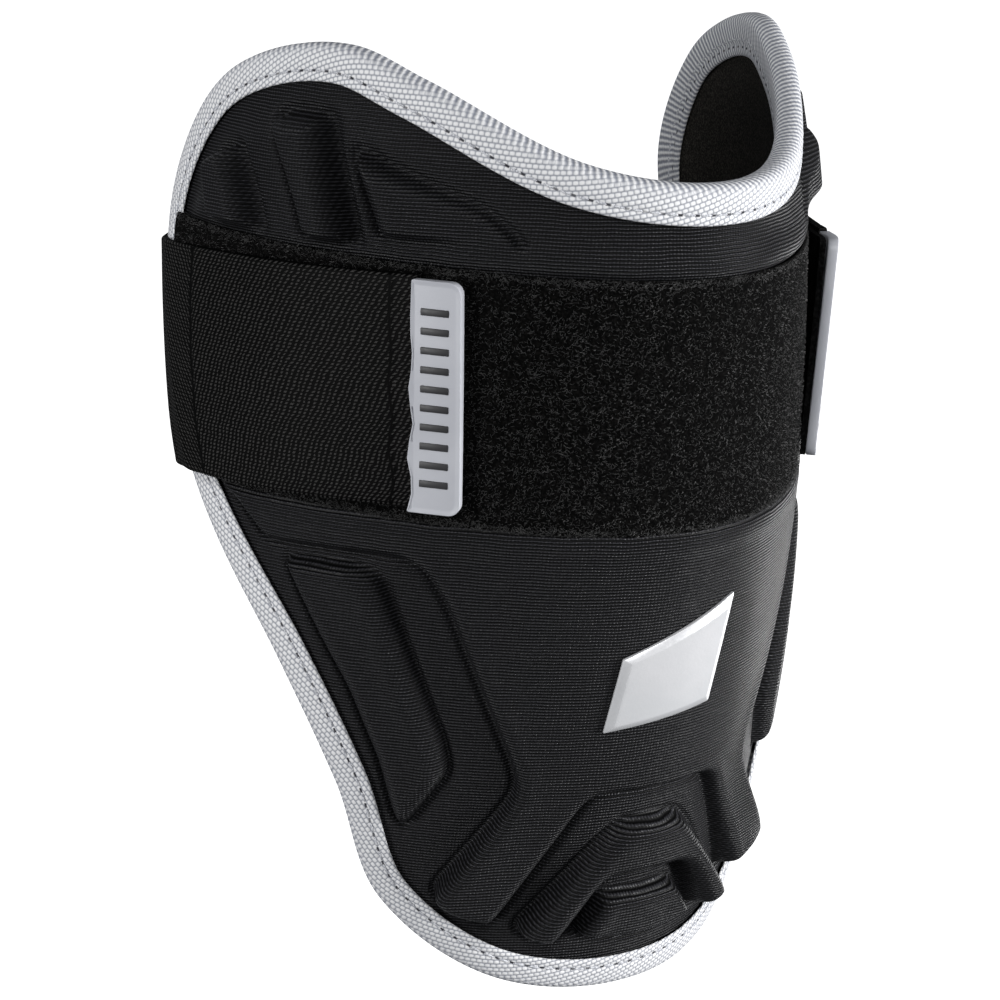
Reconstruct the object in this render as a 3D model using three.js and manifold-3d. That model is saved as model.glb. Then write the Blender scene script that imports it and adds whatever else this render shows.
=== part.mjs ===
// A baseball elbow guard as it sits on an arm: front towards -Y, arm axis along Z, wearer's
// upper arm at the top. The part is the same left and right of X = 0.
// Places on the guard are given as a turn about the arm axis (0 at the front, positive towards
// +X) and a height above the bottom tip. "Proud" is a height over the plate's outer surface.
// The origin of the finished group is on the arm axis at the middle of the strap.
import * as THREE from "three";
import Module from "manifold-3d";

// Overall sizes, millimetres
const GUARD_HEIGHT = 214.5; // bottom tip to the top of the wings
const GUARD_WIDTH = 154.2; // across the plate where it is widest
const FRONT_DEPTH = 97; // arm axis to the front of the plate at band height

// Walls and layers, millimetres
const PLATE_RISE = 2.5; // raised plate above the sunken field round it
const FOAM_WALL = 2.2; // moulded foam under the sunken field
const LINING_THICK = 1;
const TAPE_THICK = 1; // edge binding
const TAPE_WIDTH = 8.3; // binding on each face, measured from the edge
const SEAT_DEPTH = 1.3; // shallow seat of the loop field in the plate
const LOOP_THICK = 1.2;
const LOOP_WIDTH = 55.4;
const HOOK_THICK = 1;
const HOOK_LENGTH = 45;
const STRAP_THICK = 1.9;
const STRAP_WIDTH = 49.5;
const TAB_THICK = 2.4;
const TAB_WIDTH = 11.3;
const TAB_CORNER = 2.5; // corner radius of a pull tab
const BADGE_THICK = 1.3;
const BADGE_BEVEL = 1.8;
const GAP = 0.3; // between any two pieces

// Heights and reaches that follow the overall sizes
const BAND_MIDDLE = 0.664 * GUARD_HEIGHT; // middle of strap, tabs and loop field
const LOOP_CURL = 0.0137 * GUARD_HEIGHT; // rise of the loop field from front to side
const BACK_REACH = 0.46 * FRONT_DEPTH; // arm axis to the strap at the back
const BACK_DROOP = 0.019 * GUARD_HEIGHT; // how far the slack strap sinks at the back
const STRAP_CLIMB = 0.011 * GUARD_HEIGHT; // rise of the strap from the free edge to its tab
const TAB_CLIMB = 0.0065 * GUARD_HEIGHT; // tabs above the middle of the band

// Shapes of the relief, millimetres
const SHOULDER = 5; // width of the rounded flank of a raised panel
const UPPER_SLOPE = 11; // run of the field from the binding up to plate level
const FIN_RISE = 4.8; // top of a fin above plate level
const RIB_RISE = 2; // top of a rib at the bottom above plate level
const FLANK_RISE = 0.8; // top of a flank panel above plate level
const FIELD_MARGIN = 1; // flat strip of field beside the binding

// Section of the plate: half width and front depth as shares of their overall sizes, and the
// setback of the section's centre as a share of the front depth
const SECTIONS = [
  { up: 0, half: 0.933, front: 0.802, setback: 0.048 },
  { up: 0.28, half: 1, front: 0.88, setback: 0 },
  { up: 0.56, half: 0.965, front: 1, setback: 0.001 },
  { up: 0.956, half: 0.851, front: 1.085, setback: 0.009 },
];
const KEEL = 0.033; // how much the section narrows towards the front, against an ellipse

// Outer edge of the guard on one side, from the dip at the top over the wing to the bottom tip.
// Turns are degrees, heights are shares of the guard's height.
const EDGE = [
  { turn: 0, up: 0.882 },
  { turn: 26.7, up: 0.901 },
  { turn: 50.5, up: 0.972 },
  { turn: 62.1, up: 1 },
  { turn: 74.8, up: 0.988 },
  { turn: 86.6, up: 0.943 },
  { turn: 97.2, up: 0.811 },
  { turn: 90.4, up: 0.607 },
  { turn: 64.7, up: 0.371 },
  { turn: 54, up: 0.241 },
  { turn: 46.2, up: 0.105 },
  { turn: 28.4, up: 0.021 },
  { turn: 0, up: 0 },
];
const EDGE_CORNERS = { top: 0.184, bottom: 0.42 }; // shares of the edge's length from the dip

// Raised main plate on one side, run on past the front to a negative turn
const PLATE = [
  { turn: -16, up: 0.62 },
  { turn: 92, up: 0.62 },
  { turn: 74, up: 0.532 },
  { turn: 70.5, up: 0.513 },
  { turn: 67.5, up: 0.494 },
  { turn: 46.3, up: 0.496 },
  { turn: 43, up: 0.485 },
  { turn: 39.3, up: 0.448 },
  { turn: 27, up: 0.275 },
  { turn: 26, up: 0.249 },
  { turn: 28.1, up: 0.221 },
  { turn: 37.6, up: 0.13 },
  { turn: 34.7, up: 0.113 },
  { turn: 27.4, up: 0.098 },
  { turn: 13.7, up: 0.235 },
  { turn: 9.8, up: 0.24 },
  { turn: -16, up: 0.238 },
];
// Lesser raised panels: those of one side, and the ribs that cross the front, from the front to
// the side and back
const FLANK_PANEL = [
  { turn: 64.4, up: 0.482 },
  { turn: 53.2, up: 0.485 },
  { turn: 49.1, up: 0.473 },
  { turn: 37.9, up: 0.301 },
  { turn: 36.5, up: 0.266 },
  { turn: 42.6, up: 0.196 },
  { turn: 44.4, up: 0.21 },
  { turn: 47.2, up: 0.274 },
  { turn: 52.4, up: 0.351 },
  { turn: 58.4, up: 0.415 },
];
const MIDDLE_RIB = [
  { turn: 0, up: 0.206 },
  { turn: 6.4, up: 0.203 },
  { turn: 9.9, up: 0.188 },
  { turn: 23.1, up: 0.086 },
  { turn: 15.9, up: 0.072 },
  { turn: 8.5, up: 0.141 },
  { turn: 0, up: 0.142 },
];
const LOWER_RIB = [
  { turn: 0, up: 0.121 },
  { turn: 7.2, up: 0.12 },
  { turn: 9.7, up: 0.112 },
  { turn: 14.1, up: 0.074 },
  { turn: 8.1, up: 0.066 },
  { turn: 0, up: 0.06 },
];
const REAR_FIN = [
  { turn: 83.5, up: 0.876 },
  { turn: 79.2, up: 0.89 },
  { turn: 77.4, up: 0.884 },
  { turn: 73.2, up: 0.826 },
  { turn: 78.9, up: 0.828 },
  { turn: 82, up: 0.85 },
];
const MIDDLE_FIN = [
  { turn: 71.5, up: 0.922 },
  { turn: 70, up: 0.93 },
  { turn: 64.2, up: 0.931 },
  { turn: 62.5, up: 0.925 },
  { turn: 57.4, up: 0.824 },
  { turn: 64.5, up: 0.824 },
  { turn: 66.8, up: 0.855 },
];
const FRONT_FIN = [
  { turn: 58.7, up: 0.903 },
  { turn: 51.4, up: 0.882 },
  { turn: 40.2, up: 0.853 },
  { turn: 35.3, up: 0.828 },
  { turn: 53.5, up: 0.824 },
];

// Pull tab: its middle line leans a little, so the turn is given at the top and at the bottom
const TAB_TURN = { top: 44.3, bottom: 41.7 };

// Corners of the leaning plate on the front
const BADGE = {
  lowLeft: { turn: -13.4, up: 0.32 },
  lowRight: { turn: 7.3, up: 0.338 },
  highLeft: { turn: -11.9, up: 0.402 },
  highRight: { turn: 9.7, up: 0.458 },
};

// Where the strap's back bends, as a share of its half width at the free edge
const BACK_CORNER = 0.64;

// Mesh fineness
const PATCH_COLUMNS = 36;
const PATCH_ROWS = 26;
const HOLLOW_SIDES = 40;
const HOLLOW_ROWS = 10;
const ARC_STEPS = 24;

const wasm = await Module();
wasm.setup();

const { degToRad, smoothstep, lerp } = THREE.MathUtils;

// Section and surface of the plate

// Natural cubic spline through a table's rows, straight beyond both ends
function splineOf(rows, key) {
  const last = rows.length - 1;
  const bend = new Array(rows.length).fill(0);
  const carry = new Array(rows.length).fill(0);
  for (let i = 1; i < last; i++) {
    const before = rows[i].up - rows[i - 1].up;
    const after = rows[i + 1].up - rows[i].up;
    const slopeBefore = (rows[i][key] - rows[i - 1][key]) / before;
    const slopeAfter = (rows[i + 1][key] - rows[i][key]) / after;
    const pivot = 2 * (before + after) - before * carry[i - 1];
    carry[i] = after / pivot;
    bend[i] = (6 * (slopeAfter - slopeBefore) - before * bend[i - 1]) / pivot;
  }
  for (let i = last - 1; i > 0; i--) bend[i] -= carry[i] * bend[i + 1];
  return (share) => {
    let i = 0;
    while (i < last - 1 && share > rows[i + 1].up) i++;
    const span = rows[i + 1].up - rows[i].up;
    const t = (share - rows[i].up) / span;
    const chord = lerp(rows[i][key], rows[i + 1][key], t);
    const inside = THREE.MathUtils.clamp(t, 0, 1);
    const sag = ((inside - inside ** 3) * bend[i + 1] + (2 * inside - 3 * inside ** 2 + inside ** 3) * bend[i]) / 6;
    const endSlope = t < 0 ? -bend[i + 1] / 6 : t > 1 ? bend[i] / 6 : 0;
    return chord - sag * span ** 2 + endSlope * (t - inside) * span ** 2;
  };
}

const halfShare = splineOf(SECTIONS, "half");
const frontShare = splineOf(SECTIONS, "front");
const setbackShare = splineOf(SECTIONS, "setback");

function sectionPoint(turn, up) {
  const share = up / GUARD_HEIGHT;
  const half = (halfShare(share) * GUARD_WIDTH) / 2;
  const front = frontShare(share) * FRONT_DEPTH;
  const setback = setbackShare(share) * FRONT_DEPTH;
  const x = half * (Math.sin(turn) - KEEL * Math.sin(3 * turn));
  const y = setback - front * (Math.cos(turn) + KEEL * Math.cos(3 * turn));
  return new THREE.Vector3(x, y, up);
}

// Directions along growing turn and growing height, per radian and per millimetre
function slopesAt(turn, up) {
  const step = 0.001;
  const round = sectionPoint(turn + step, up).sub(sectionPoint(turn - step, up));
  const rise = sectionPoint(turn, up + step).sub(sectionPoint(turn, up - step));
  return { round: round.divideScalar(2 * step), rise: rise.divideScalar(2 * step) };
}

function outwardAt(turn, up) {
  const { round, rise } = slopesAt(turn, up);
  return round.cross(rise).normalize();
}

function skin(turn, up, proud) {
  return sectionPoint(turn, up).addScaledVector(outwardAt(turn, up), proud);
}

// Length along the plate from the front to a turn, at one height
function alongTo(turn, up) {
  let length = 0;
  let previous = sectionPoint(0, up);
  for (let i = 1; i <= ARC_STEPS; i++) {
    const next = sectionPoint((turn * i) / ARC_STEPS, up);
    length += next.distanceTo(previous);
    previous = next;
  }
  return turn < 0 ? -length : length;
}

function turnAfter(along, up) {
  let turn = (2 * along) / GUARD_WIDTH;
  for (let i = 0; i < 6; i++) turn -= (alongTo(turn, up) - along) / slopesAt(turn, up).round.length();
  return turn;
}

// Edge of the guard

// Turns are counted in millimetres of a mean radius here, so that lengths along the edge are even
const EDGE_RADIUS = 0.41 * GUARD_WIDTH;
const edgeSide = EDGE.map(({ turn, up }) => new THREE.Vector3(degToRad(turn) * EDGE_RADIUS, up * GUARD_HEIGHT, 0));
const otherSide = edgeSide.slice(1, -1).reverse().map((p) => new THREE.Vector3(-p.x, p.y, 0));
const edgeCurve = new THREE.CatmullRomCurve3([...edgeSide, ...otherSide], true, "centripetal");
edgeCurve.arcLengthDivisions = 800;

// Shares of the edge at which its stations stand: along the top, down the right side, along the
// bottom and up the left side
function edgeShares() {
  const { top, bottom } = EDGE_CORNERS;
  const sides = [
    { from: -top, to: top, cells: PATCH_COLUMNS },
    { from: top, to: bottom, cells: PATCH_ROWS },
    { from: bottom, to: 1 - bottom, cells: PATCH_COLUMNS },
    { from: 1 - bottom, to: 1 - top, cells: PATCH_ROWS },
  ];
  return sides.flatMap(({ from, to, cells }) =>
    Array.from({ length: cells }, (_, i) => (lerp(from, to, i / cells) + 1) % 1),
  );
}

function edgeStation(share) {
  const step = 0.001;
  const at = (s) => {
    const p = edgeCurve.getPointAt((s + 1) % 1);
    return { turn: p.x / EDGE_RADIUS, up: p.y };
  };
  const here = at(share);
  const before = at(share - step);
  const after = at(share + step);
  const travel = sectionPoint(after.turn, after.up).sub(sectionPoint(before.turn, before.up));
  const inward = travel.cross(outwardAt(here.turn, here.up)).normalize();
  return { ...here, inward };
}

// The place on the plate that lies a distance inside the edge
function inset(station, distance) {
  const { round, rise } = slopesAt(station.turn, station.up);
  return {
    turn: station.turn + (distance * station.inward.dot(round)) / round.lengthSq(),
    up: station.up + (distance * station.inward.dot(rise)) / rise.lengthSq(),
  };
}

const stations = edgeShares().map(edgeStation);
const fieldEdge = stations.map((s) => inset(s, TAPE_WIDTH + FIELD_MARGIN));

// Turn of the free edge of a wing at one height
function freeEdgeTurn(up) {
  let turn = 0;
  for (let i = 0; i < stations.length; i++) {
    const a = stations[i];
    const b = stations[(i + 1) % stations.length];
    if ((a.up - up) * (b.up - up) > 0 || a.up === b.up) continue;
    turn = Math.max(turn, lerp(a.turn, b.turn, (up - a.up) / (b.up - a.up)));
  }
  return turn;
}

// Relief of the shell

// Distance of a place inside an outline in the flattened surface, negative outside
function depthInside(outline, x, y) {
  let nearest = Infinity;
  let inside = false;
  for (let i = 0; i < outline.length; i++) {
    const a = outline[i];
    const b = outline[(i + 1) % outline.length];
    const run = { x: b.x - a.x, y: b.y - a.y };
    const t = ((x - a.x) * run.x + (y - a.y) * run.y) / (run.x ** 2 + run.y ** 2);
    const s = THREE.MathUtils.clamp(t, 0, 1);
    nearest = Math.min(nearest, Math.hypot(x - a.x - s * run.x, y - a.y - s * run.y));
    if (a.y > y !== b.y > y && x < a.x + (run.x * (y - a.y)) / run.y) inside = !inside;
  }
  return inside ? nearest : -nearest;
}

const flattened = ({ turn, up }) => ({ x: alongTo(turn, up), y: up });
const panelOutline = (rows) =>
  rows.map(({ turn, up }) => flattened({ turn: degToRad(turn), up: up * GUARD_HEIGHT }));

const plateOutline = panelOutline(PLATE);
const fieldOutline = fieldEdge.map(flattened);

const loopBottom = (turn) => BAND_MIDDLE - LOOP_WIDTH / 2 + LOOP_CURL * (1 - Math.cos(turn));
const loopTop = (turn) => loopBottom(turn) + LOOP_WIDTH;

function proudOf(turn, up) {
  const { x, y } = flattened({ turn: Math.abs(turn), up });
  const fromBinding = Math.max(0, depthInside(fieldOutline, x, y));
  const aboveLoop = smoothstep(up, loopBottom(turn) - SHOULDER, loopBottom(turn));
  const field = -PLATE_RISE * (1 - aboveLoop * smoothstep(fromBinding, 0, UPPER_SLOPE));
  const flank = smoothstep(depthInside(plateOutline, x, y), 0, SHOULDER);
  return lerp(field, 0, flank * smoothstep(fromBinding, 0, SHOULDER));
}

// Closed meshes

function geometryOf(points, faces) {
  const geometry = new THREE.BufferGeometry().setFromPoints(points);
  geometry.setIndex(faces);
  return geometry;
}

function quad(faces, a, b, c, d) {
  faces.push(a, b, c, a, c, d);
}

// A sheet with a wall: place(column, row, outer) gives its corners, columns growing with the turn
// and rows with the height
function sheet(columns, rows, place) {
  const points = [];
  const faces = [];
  const index = (i, j, outer) => (j * (columns + 1) + i) * 2 + outer;
  for (let j = 0; j <= rows; j++)
    for (let i = 0; i <= columns; i++) points.push(place(i, j, 0), place(i, j, 1));
  for (let j = 0; j < rows; j++) {
    for (let i = 0; i < columns; i++) {
      quad(faces, index(i, j, 1), index(i + 1, j, 1), index(i + 1, j + 1, 1), index(i, j + 1, 1));
      quad(faces, index(i, j, 0), index(i, j + 1, 0), index(i + 1, j + 1, 0), index(i + 1, j, 0));
    }
    quad(faces, index(0, j, 0), index(0, j, 1), index(0, j + 1, 1), index(0, j + 1, 0));
    quad(faces, index(columns, j, 1), index(columns, j, 0), index(columns, j + 1, 0), index(columns, j + 1, 1));
  }
  for (let i = 0; i < columns; i++) {
    quad(faces, index(i, 0, 0), index(i + 1, 0, 0), index(i + 1, 0, 1), index(i, 0, 1));
    quad(faces, index(i, rows, 1), index(i + 1, rows, 1), index(i + 1, rows, 0), index(i, rows, 0));
  }
  return geometryOf(points, faces);
}

function solidOf(geometry) {
  return new wasm.Manifold(
    new wasm.Mesh({
      numProp: 3,
      vertProperties: geometry.getAttribute("position").array,
      triVerts: new Uint32Array(geometry.index.array),
    }),
  );
}

function geometryFrom(solid) {
  const mesh = solid.getMesh();
  const geometry = new THREE.BufferGeometry();
  geometry.setAttribute("position", new THREE.BufferAttribute(mesh.vertProperties, 3));
  geometry.setIndex(new THREE.BufferAttribute(mesh.triVerts, 1));
  return geometry;
}

// Shell and lining

// Everything between the shell's outer surface and a point on the arm axis
function scoop() {
  const points = [];
  const faces = [];
  const columns = PATCH_COLUMNS;
  const rows = PATCH_ROWS;
  const topRow = fieldEdge.slice(0, columns + 1);
  const rightSide = fieldEdge.slice(columns, columns + rows + 1).reverse();
  const bottomRow = fieldEdge.slice(columns + rows, 2 * columns + rows + 1).reverse();
  const leftSide = [...fieldEdge.slice(2 * columns + rows), fieldEdge[0]];
  const blend = (key, i, j) => {
    const s = i / columns;
    const t = j / rows;
    const acrossSides = lerp(leftSide[j][key], rightSide[j][key], s);
    const acrossEnds = lerp(bottomRow[i][key], topRow[i][key], t);
    const low = lerp(bottomRow[0][key], bottomRow[columns][key], s);
    const high = lerp(topRow[0][key], topRow[columns][key], s);
    return acrossSides + acrossEnds - lerp(low, high, t);
  };
  const patch = (i, j) => j * (columns + 1) + i;
  for (let j = 0; j <= rows; j++) {
    for (let i = 0; i <= columns; i++) {
      const turn = blend("turn", i, j);
      const up = blend("up", i, j);
      points.push(skin(turn, up, proudOf(turn, up)));
    }
  }
  for (let j = 0; j < rows; j++)
    for (let i = 0; i < columns; i++)
      quad(faces, patch(i, j), patch(i + 1, j), patch(i + 1, j + 1), patch(i, j + 1));

  const border = [];
  for (let i = 0; i < columns; i++) border.push(patch(i, rows));
  for (let j = rows; j > 0; j--) border.push(patch(columns, j));
  for (let i = columns; i > 0; i--) border.push(patch(i, 0));
  for (let j = 0; j < rows; j++) border.push(patch(0, j));

  const deep = PLATE_RISE + FOAM_WALL + LINING_THICK + 4 * TAPE_WIDTH;
  const outerRing = points.length;
  for (const station of stations) {
    const { turn, up } = inset(station, TAPE_THICK + GAP);
    points.push(skin(turn, up, -PLATE_RISE), skin(turn, up, -deep));
  }
  const centre = points.length;
  points.push(new THREE.Vector3(0, 0, GUARD_HEIGHT / 2));
  stations.forEach((_, k) => {
    const next = (k + 1) % stations.length;
    const here = outerRing + 2 * k;
    const there = outerRing + 2 * next;
    quad(faces, border[k], border[next], there, here);
    quad(faces, here, there, there + 1, here + 1);
    faces.push(here + 1, there + 1, centre);
  });
  return solidOf(geometryOf(points, faces));
}

// Points along a closed outline, no further apart than a spacing
function resample(outline, spacing) {
  return outline.flatMap((a, i) => {
    const b = outline[(i + 1) % outline.length];
    const start = new THREE.Vector2(a.x, a.y);
    const end = new THREE.Vector2(b.x, b.y);
    const steps = Math.ceil(start.distanceTo(end) / spacing);
    return Array.from({ length: steps }, (_, k) => start.clone().lerp(end, k / steps));
  });
}

// A raised panel with a rounded flank, its foot sunk in the foam
function raisedPanel(outline, top) {
  const ring = resample(outline, 1.5 * SHOULDER);
  if (THREE.ShapeUtils.isClockWise(ring)) ring.reverse();
  const count = ring.length;
  const inwards = ring.map((_, i) => {
    const run = ring[(i + 1) % count].clone().sub(ring[(i + count - 1) % count]).normalize();
    return new THREE.Vector2(-run.y, run.x);
  });
  const foot = -PLATE_RISE - FOAM_WALL / 2;
  const levels = [
    { inside: 0, proud: foot },
    { inside: 0.15 * SHOULDER, proud: lerp(-PLATE_RISE, top, 0.6) },
    { inside: 0.65 * SHOULDER, proud: top },
  ];
  const points = [];
  const faces = [];
  for (const { inside, proud } of levels) {
    ring.forEach((p, i) => {
      const { x, y } = p.clone().addScaledVector(inwards[i], inside);
      points.push(skin(turnAfter(x, y), y, proud));
    });
  }
  const cap = THREE.ShapeUtils.triangulateShape(ring, []);
  for (const [a, b, c] of cap) {
    faces.push(c, b, a);
    const last = (levels.length - 1) * count;
    faces.push(last + a, last + b, last + c);
  }
  for (let level = 0; level < levels.length - 1; level++) {
    for (let i = 0; i < count; i++) {
      const here = level * count + i;
      const next = level * count + ((i + 1) % count);
      quad(faces, here, next, next + count, here + count);
    }
  }
  return solidOf(geometryOf(points, faces));
}

const mirrored = (rows) => rows.map(({ turn, up }) => ({ turn: -turn, up }));

function raisedPanels() {
  const sides = [
    { rows: FLANK_PANEL, top: FLANK_RISE },
    { rows: REAR_FIN, top: FIN_RISE },
    { rows: MIDDLE_FIN, top: FIN_RISE },
    { rows: FRONT_FIN, top: FIN_RISE },
  ];
  const middle = [MIDDLE_RIB, LOWER_RIB].map((rows) => [...rows, ...mirrored(rows.slice(1, -1)).reverse()]);
  return [
    ...sides.flatMap(({ rows, top }) => [rows, mirrored(rows)].map((side) => raisedPanel(panelOutline(side), top))),
    ...middle.map((rows) => raisedPanel(panelOutline(rows), RIB_RISE)),
  ];
}

// The space inside a surface that lies a depth under the plate's, from below to above the guard
function armSpace(depth) {
  const points = [];
  const faces = [];
  for (let j = 0; j <= HOLLOW_ROWS; j++) {
    const up = lerp(-0.1, 1.1, j / HOLLOW_ROWS) * GUARD_HEIGHT;
    for (let i = 0; i < HOLLOW_SIDES; i++) points.push(skin((2 * Math.PI * i) / HOLLOW_SIDES, up, -depth));
  }
  const index = (i, j) => j * HOLLOW_SIDES + (i % HOLLOW_SIDES);
  const floor = points.length;
  const roof = floor + 1;
  points.push(new THREE.Vector3(0, 0, points[0].z), new THREE.Vector3(0, 0, points[floor - 1].z));
  for (let i = 0; i < HOLLOW_SIDES; i++) {
    for (let j = 0; j < HOLLOW_ROWS; j++)
      quad(faces, index(i, j), index(i + 1, j), index(i + 1, j + 1), index(i, j + 1));
    faces.push(index(i + 1, 0), index(i, 0), floor);
    faces.push(index(i, HOLLOW_ROWS), index(i + 1, HOLLOW_ROWS), roof);
  }
  return solidOf(geometryOf(points, faces));
}

// A sheet over the area of the loop field, grown by a margin all round
function loopSheet(margin, bottomProud, topProud) {
  const columns = 26;
  const rows = 4;
  return sheet(columns, rows, (i, j, outer) => {
    const guess = lerp(-Math.PI / 2, Math.PI / 2, i / columns);
    const up = lerp(loopBottom(guess) - margin, loopTop(guess) + margin, j / rows);
    const end = alongTo(freeEdgeTurn(up), up) - TAPE_WIDTH - FIELD_MARGIN - GAP + margin;
    const turn = turnAfter(lerp(-end, end, i / columns), up);
    return skin(turn, up, outer ? topProud : bottomProud);
  });
}

const body = scoop();
const shellInside = PLATE_RISE + FOAM_WALL;
const liningInside = shellInside + GAP + LINING_THICK;
const loopSeat = solidOf(loopSheet(GAP, -SEAT_DEPTH, SEAT_DEPTH + FIN_RISE));
const padded = raisedPanels().reduce((solid, panel) => solid.add(panel), body);
const shellSolid = padded.subtract(armSpace(shellInside)).subtract(loopSeat);
const liningSolid = body.intersect(armSpace(shellInside + GAP)).subtract(armSpace(liningInside));

// Edge binding: a tape folded over the edge, swept along the stations
function edgeBinding() {
  const face = -PLATE_RISE + GAP + TAPE_THICK;
  const back = -liningInside - 2 * GAP - TAPE_THICK;
  const fold = 1.2 * TAPE_THICK;
  const profile = [
    { inside: TAPE_WIDTH, proud: face },
    { inside: fold, proud: face },
    { inside: 0, proud: (face + back) / 2 },
    { inside: fold, proud: back },
    { inside: TAPE_WIDTH, proud: back },
    { inside: TAPE_WIDTH, proud: back + TAPE_THICK },
    { inside: TAPE_THICK, proud: back + TAPE_THICK },
    { inside: TAPE_THICK, proud: face - TAPE_THICK },
    { inside: TAPE_WIDTH, proud: face - TAPE_THICK },
  ];
  const points = [];
  const faces = [];
  for (const station of stations) {
    for (const { inside, proud } of profile) {
      const { turn, up } = inset(station, inside);
      points.push(skin(turn, up, proud));
    }
  }
  const index = (k, p) => (k % stations.length) * profile.length + (p % profile.length);
  for (let k = 0; k < stations.length; k++)
    for (let p = 0; p < profile.length; p++)
      quad(faces, index(k, p), index(k + 1, p), index(k + 1, p + 1), index(k, p + 1));
  return geometryOf(points, faces);
}

// Bands and tabs, laid over each other on the loop field
const LOOP_FACE = -SEAT_DEPTH + GAP + LOOP_THICK;
const HOOK_BACK = LOOP_FACE + GAP;
const STRAP_ON_HOOK = HOOK_BACK + HOOK_THICK + GAP;
const STRAP_ON_LOOP = LOOP_FACE + GAP;
const STRAP_ON_TAPE = -PLATE_RISE + GAP + TAPE_THICK + GAP;
const strapLow = BAND_MIDDLE - STRAP_WIDTH / 2;
const strapHigh = BAND_MIDDLE + STRAP_WIDTH / 2;

// Length along the plate from the front to the middle line of a tab
function tabAlong(up) {
  const share = (up - strapLow) / STRAP_WIDTH;
  return alongTo(degToRad(lerp(TAB_TURN.bottom, TAB_TURN.top, share)), up);
}

function hookPad(side) {
  const columns = 6;
  const rows = 4;
  return sheet(columns, rows, (i, j, outer) => {
    const up = lerp(strapLow + GAP, strapHigh - GAP, j / rows);
    const share = side > 0 ? i / columns : 1 - i / columns;
    const along = tabAlong(up) - TAB_WIDTH / 2 + TAPE_THICK + share * HOOK_LENGTH;
    return skin(turnAfter(side * along, up), up + TAB_CLIMB, HOOK_BACK + outer * HOOK_THICK);
  });
}

// Inner face of the strap: on the hook pad, then on the loop field, then over the binding
function strapOnWing(side, share, up) {
  const start = tabAlong(up) + TAB_WIDTH / 2 + GAP;
  const edge = alongTo(freeEdgeTurn(up), up);
  const along = lerp(start, edge + TAPE_THICK, share);
  const hookEnd = tabAlong(up) - TAB_WIDTH / 2 + TAPE_THICK + HOOK_LENGTH;
  const offHook = smoothstep(along, hookEnd + STRAP_THICK, hookEnd + TAPE_WIDTH);
  const offLoop = smoothstep(edge - along, 0, TAPE_WIDTH - STRAP_THICK);
  const proud = lerp(STRAP_ON_TAPE, lerp(STRAP_ON_HOOK, STRAP_ON_LOOP, offHook), offLoop);
  const climb = STRAP_CLIMB * (1 - share);
  return skin(turnAfter(side * along, up), up + climb, proud);
}

function backStrap() {
  const wingColumns = 15;
  const backColumns = 18;
  const rows = 4;
  const columns = 2 * wingColumns + backColumns;
  const inner = (i, j) => {
    const up = lerp(strapLow, strapHigh, j / rows);
    if (i <= wingColumns) return strapOnWing(1, i / wingColumns, up);
    if (i >= columns - wingColumns) return strapOnWing(-1, (columns - i) / wingColumns, up);
    const edge = strapOnWing(1, 1, up);
    const share = (i - wingColumns) / backColumns;
    const turned = new THREE.Vector3(BACK_CORNER * edge.x, BACK_REACH, edge.z);
    const middle = new THREE.Vector3(0, BACK_REACH, edge.z);
    const half = new THREE.QuadraticBezierCurve3(edge, turned, middle);
    const here = half.getPoint(share < 0.5 ? 2 * share : 2 - 2 * share);
    if (share > 0.5) here.x = -here.x;
    here.z -= BACK_DROOP * Math.sin(Math.PI * share) ** 2;
    return here;
  };
  return sheet(columns, rows, (i, j, outer) => {
    const here = inner(i, j);
    const run = inner(Math.min(i + 1, columns), j).sub(inner(Math.max(i - 1, 0), j));
    const out = new THREE.Vector3(run.y, -run.x, 0).normalize();
    return here.addScaledVector(out, outer * STRAP_THICK);
  });
}

// A stiff tab with rounded corners, standing beside the end of the strap
function pullTab(side) {
  const columns = 4;
  const corner = [0, 0.3, 1].map((share) => share * TAB_CORNER);
  const straight = [0.25, 0.5, 0.75].map((share) => lerp(TAB_CORNER, STRAP_WIDTH - TAB_CORNER, share));
  const heights = [...corner, ...straight, ...corner.map((h) => STRAP_WIDTH - h).reverse()];
  return sheet(columns, heights.length - 1, (i, j, outer) => {
    const fromEnd = Math.min(heights[j], STRAP_WIDTH - heights[j]);
    const intoCorner = Math.max(0, TAB_CORNER - fromEnd);
    const half = TAB_WIDTH / 2 - TAB_CORNER + Math.sqrt(TAB_CORNER ** 2 - intoCorner ** 2);
    const up = strapLow + heights[j];
    const along = side * tabAlong(up) + lerp(-half, half, i / columns);
    return skin(turnAfter(along, up), up + TAB_CLIMB, STRAP_ON_HOOK + outer * TAB_THICK);
  });
}

// A plain leaning plate with a bevelled rim
function badge() {
  const corner = ({ turn, up }) => flattened({ turn: degToRad(turn), up: up * GUARD_HEIGHT });
  const lowLeft = corner(BADGE.lowLeft);
  const lowRight = corner(BADGE.lowRight);
  const highLeft = corner(BADGE.highLeft);
  const highRight = corner(BADGE.highRight);
  const across = BADGE_BEVEL / (lowRight.x - lowLeft.x);
  const tall = BADGE_BEVEL / (highLeft.y - lowLeft.y);
  const columns = [0, across, 0.35, 0.65, 1 - across, 1];
  const rows = [0, tall, 0.35, 0.65, 1 - tall, 1];
  const between = (key, s, t) =>
    lerp(lerp(lowLeft[key], lowRight[key], s), lerp(highLeft[key], highRight[key], s), t);
  return sheet(columns.length - 1, rows.length - 1, (i, j, outer) => {
    const along = between("x", columns[i], rows[j]);
    const up = between("y", columns[i], rows[j]);
    const rim = i === 0 || j === 0 || i === columns.length - 1 || j === rows.length - 1;
    const proud = GAP + outer * BADGE_THICK * (rim ? 0.45 : 1);
    return skin(turnAfter(along, up), up, proud);
  });
}

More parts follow.
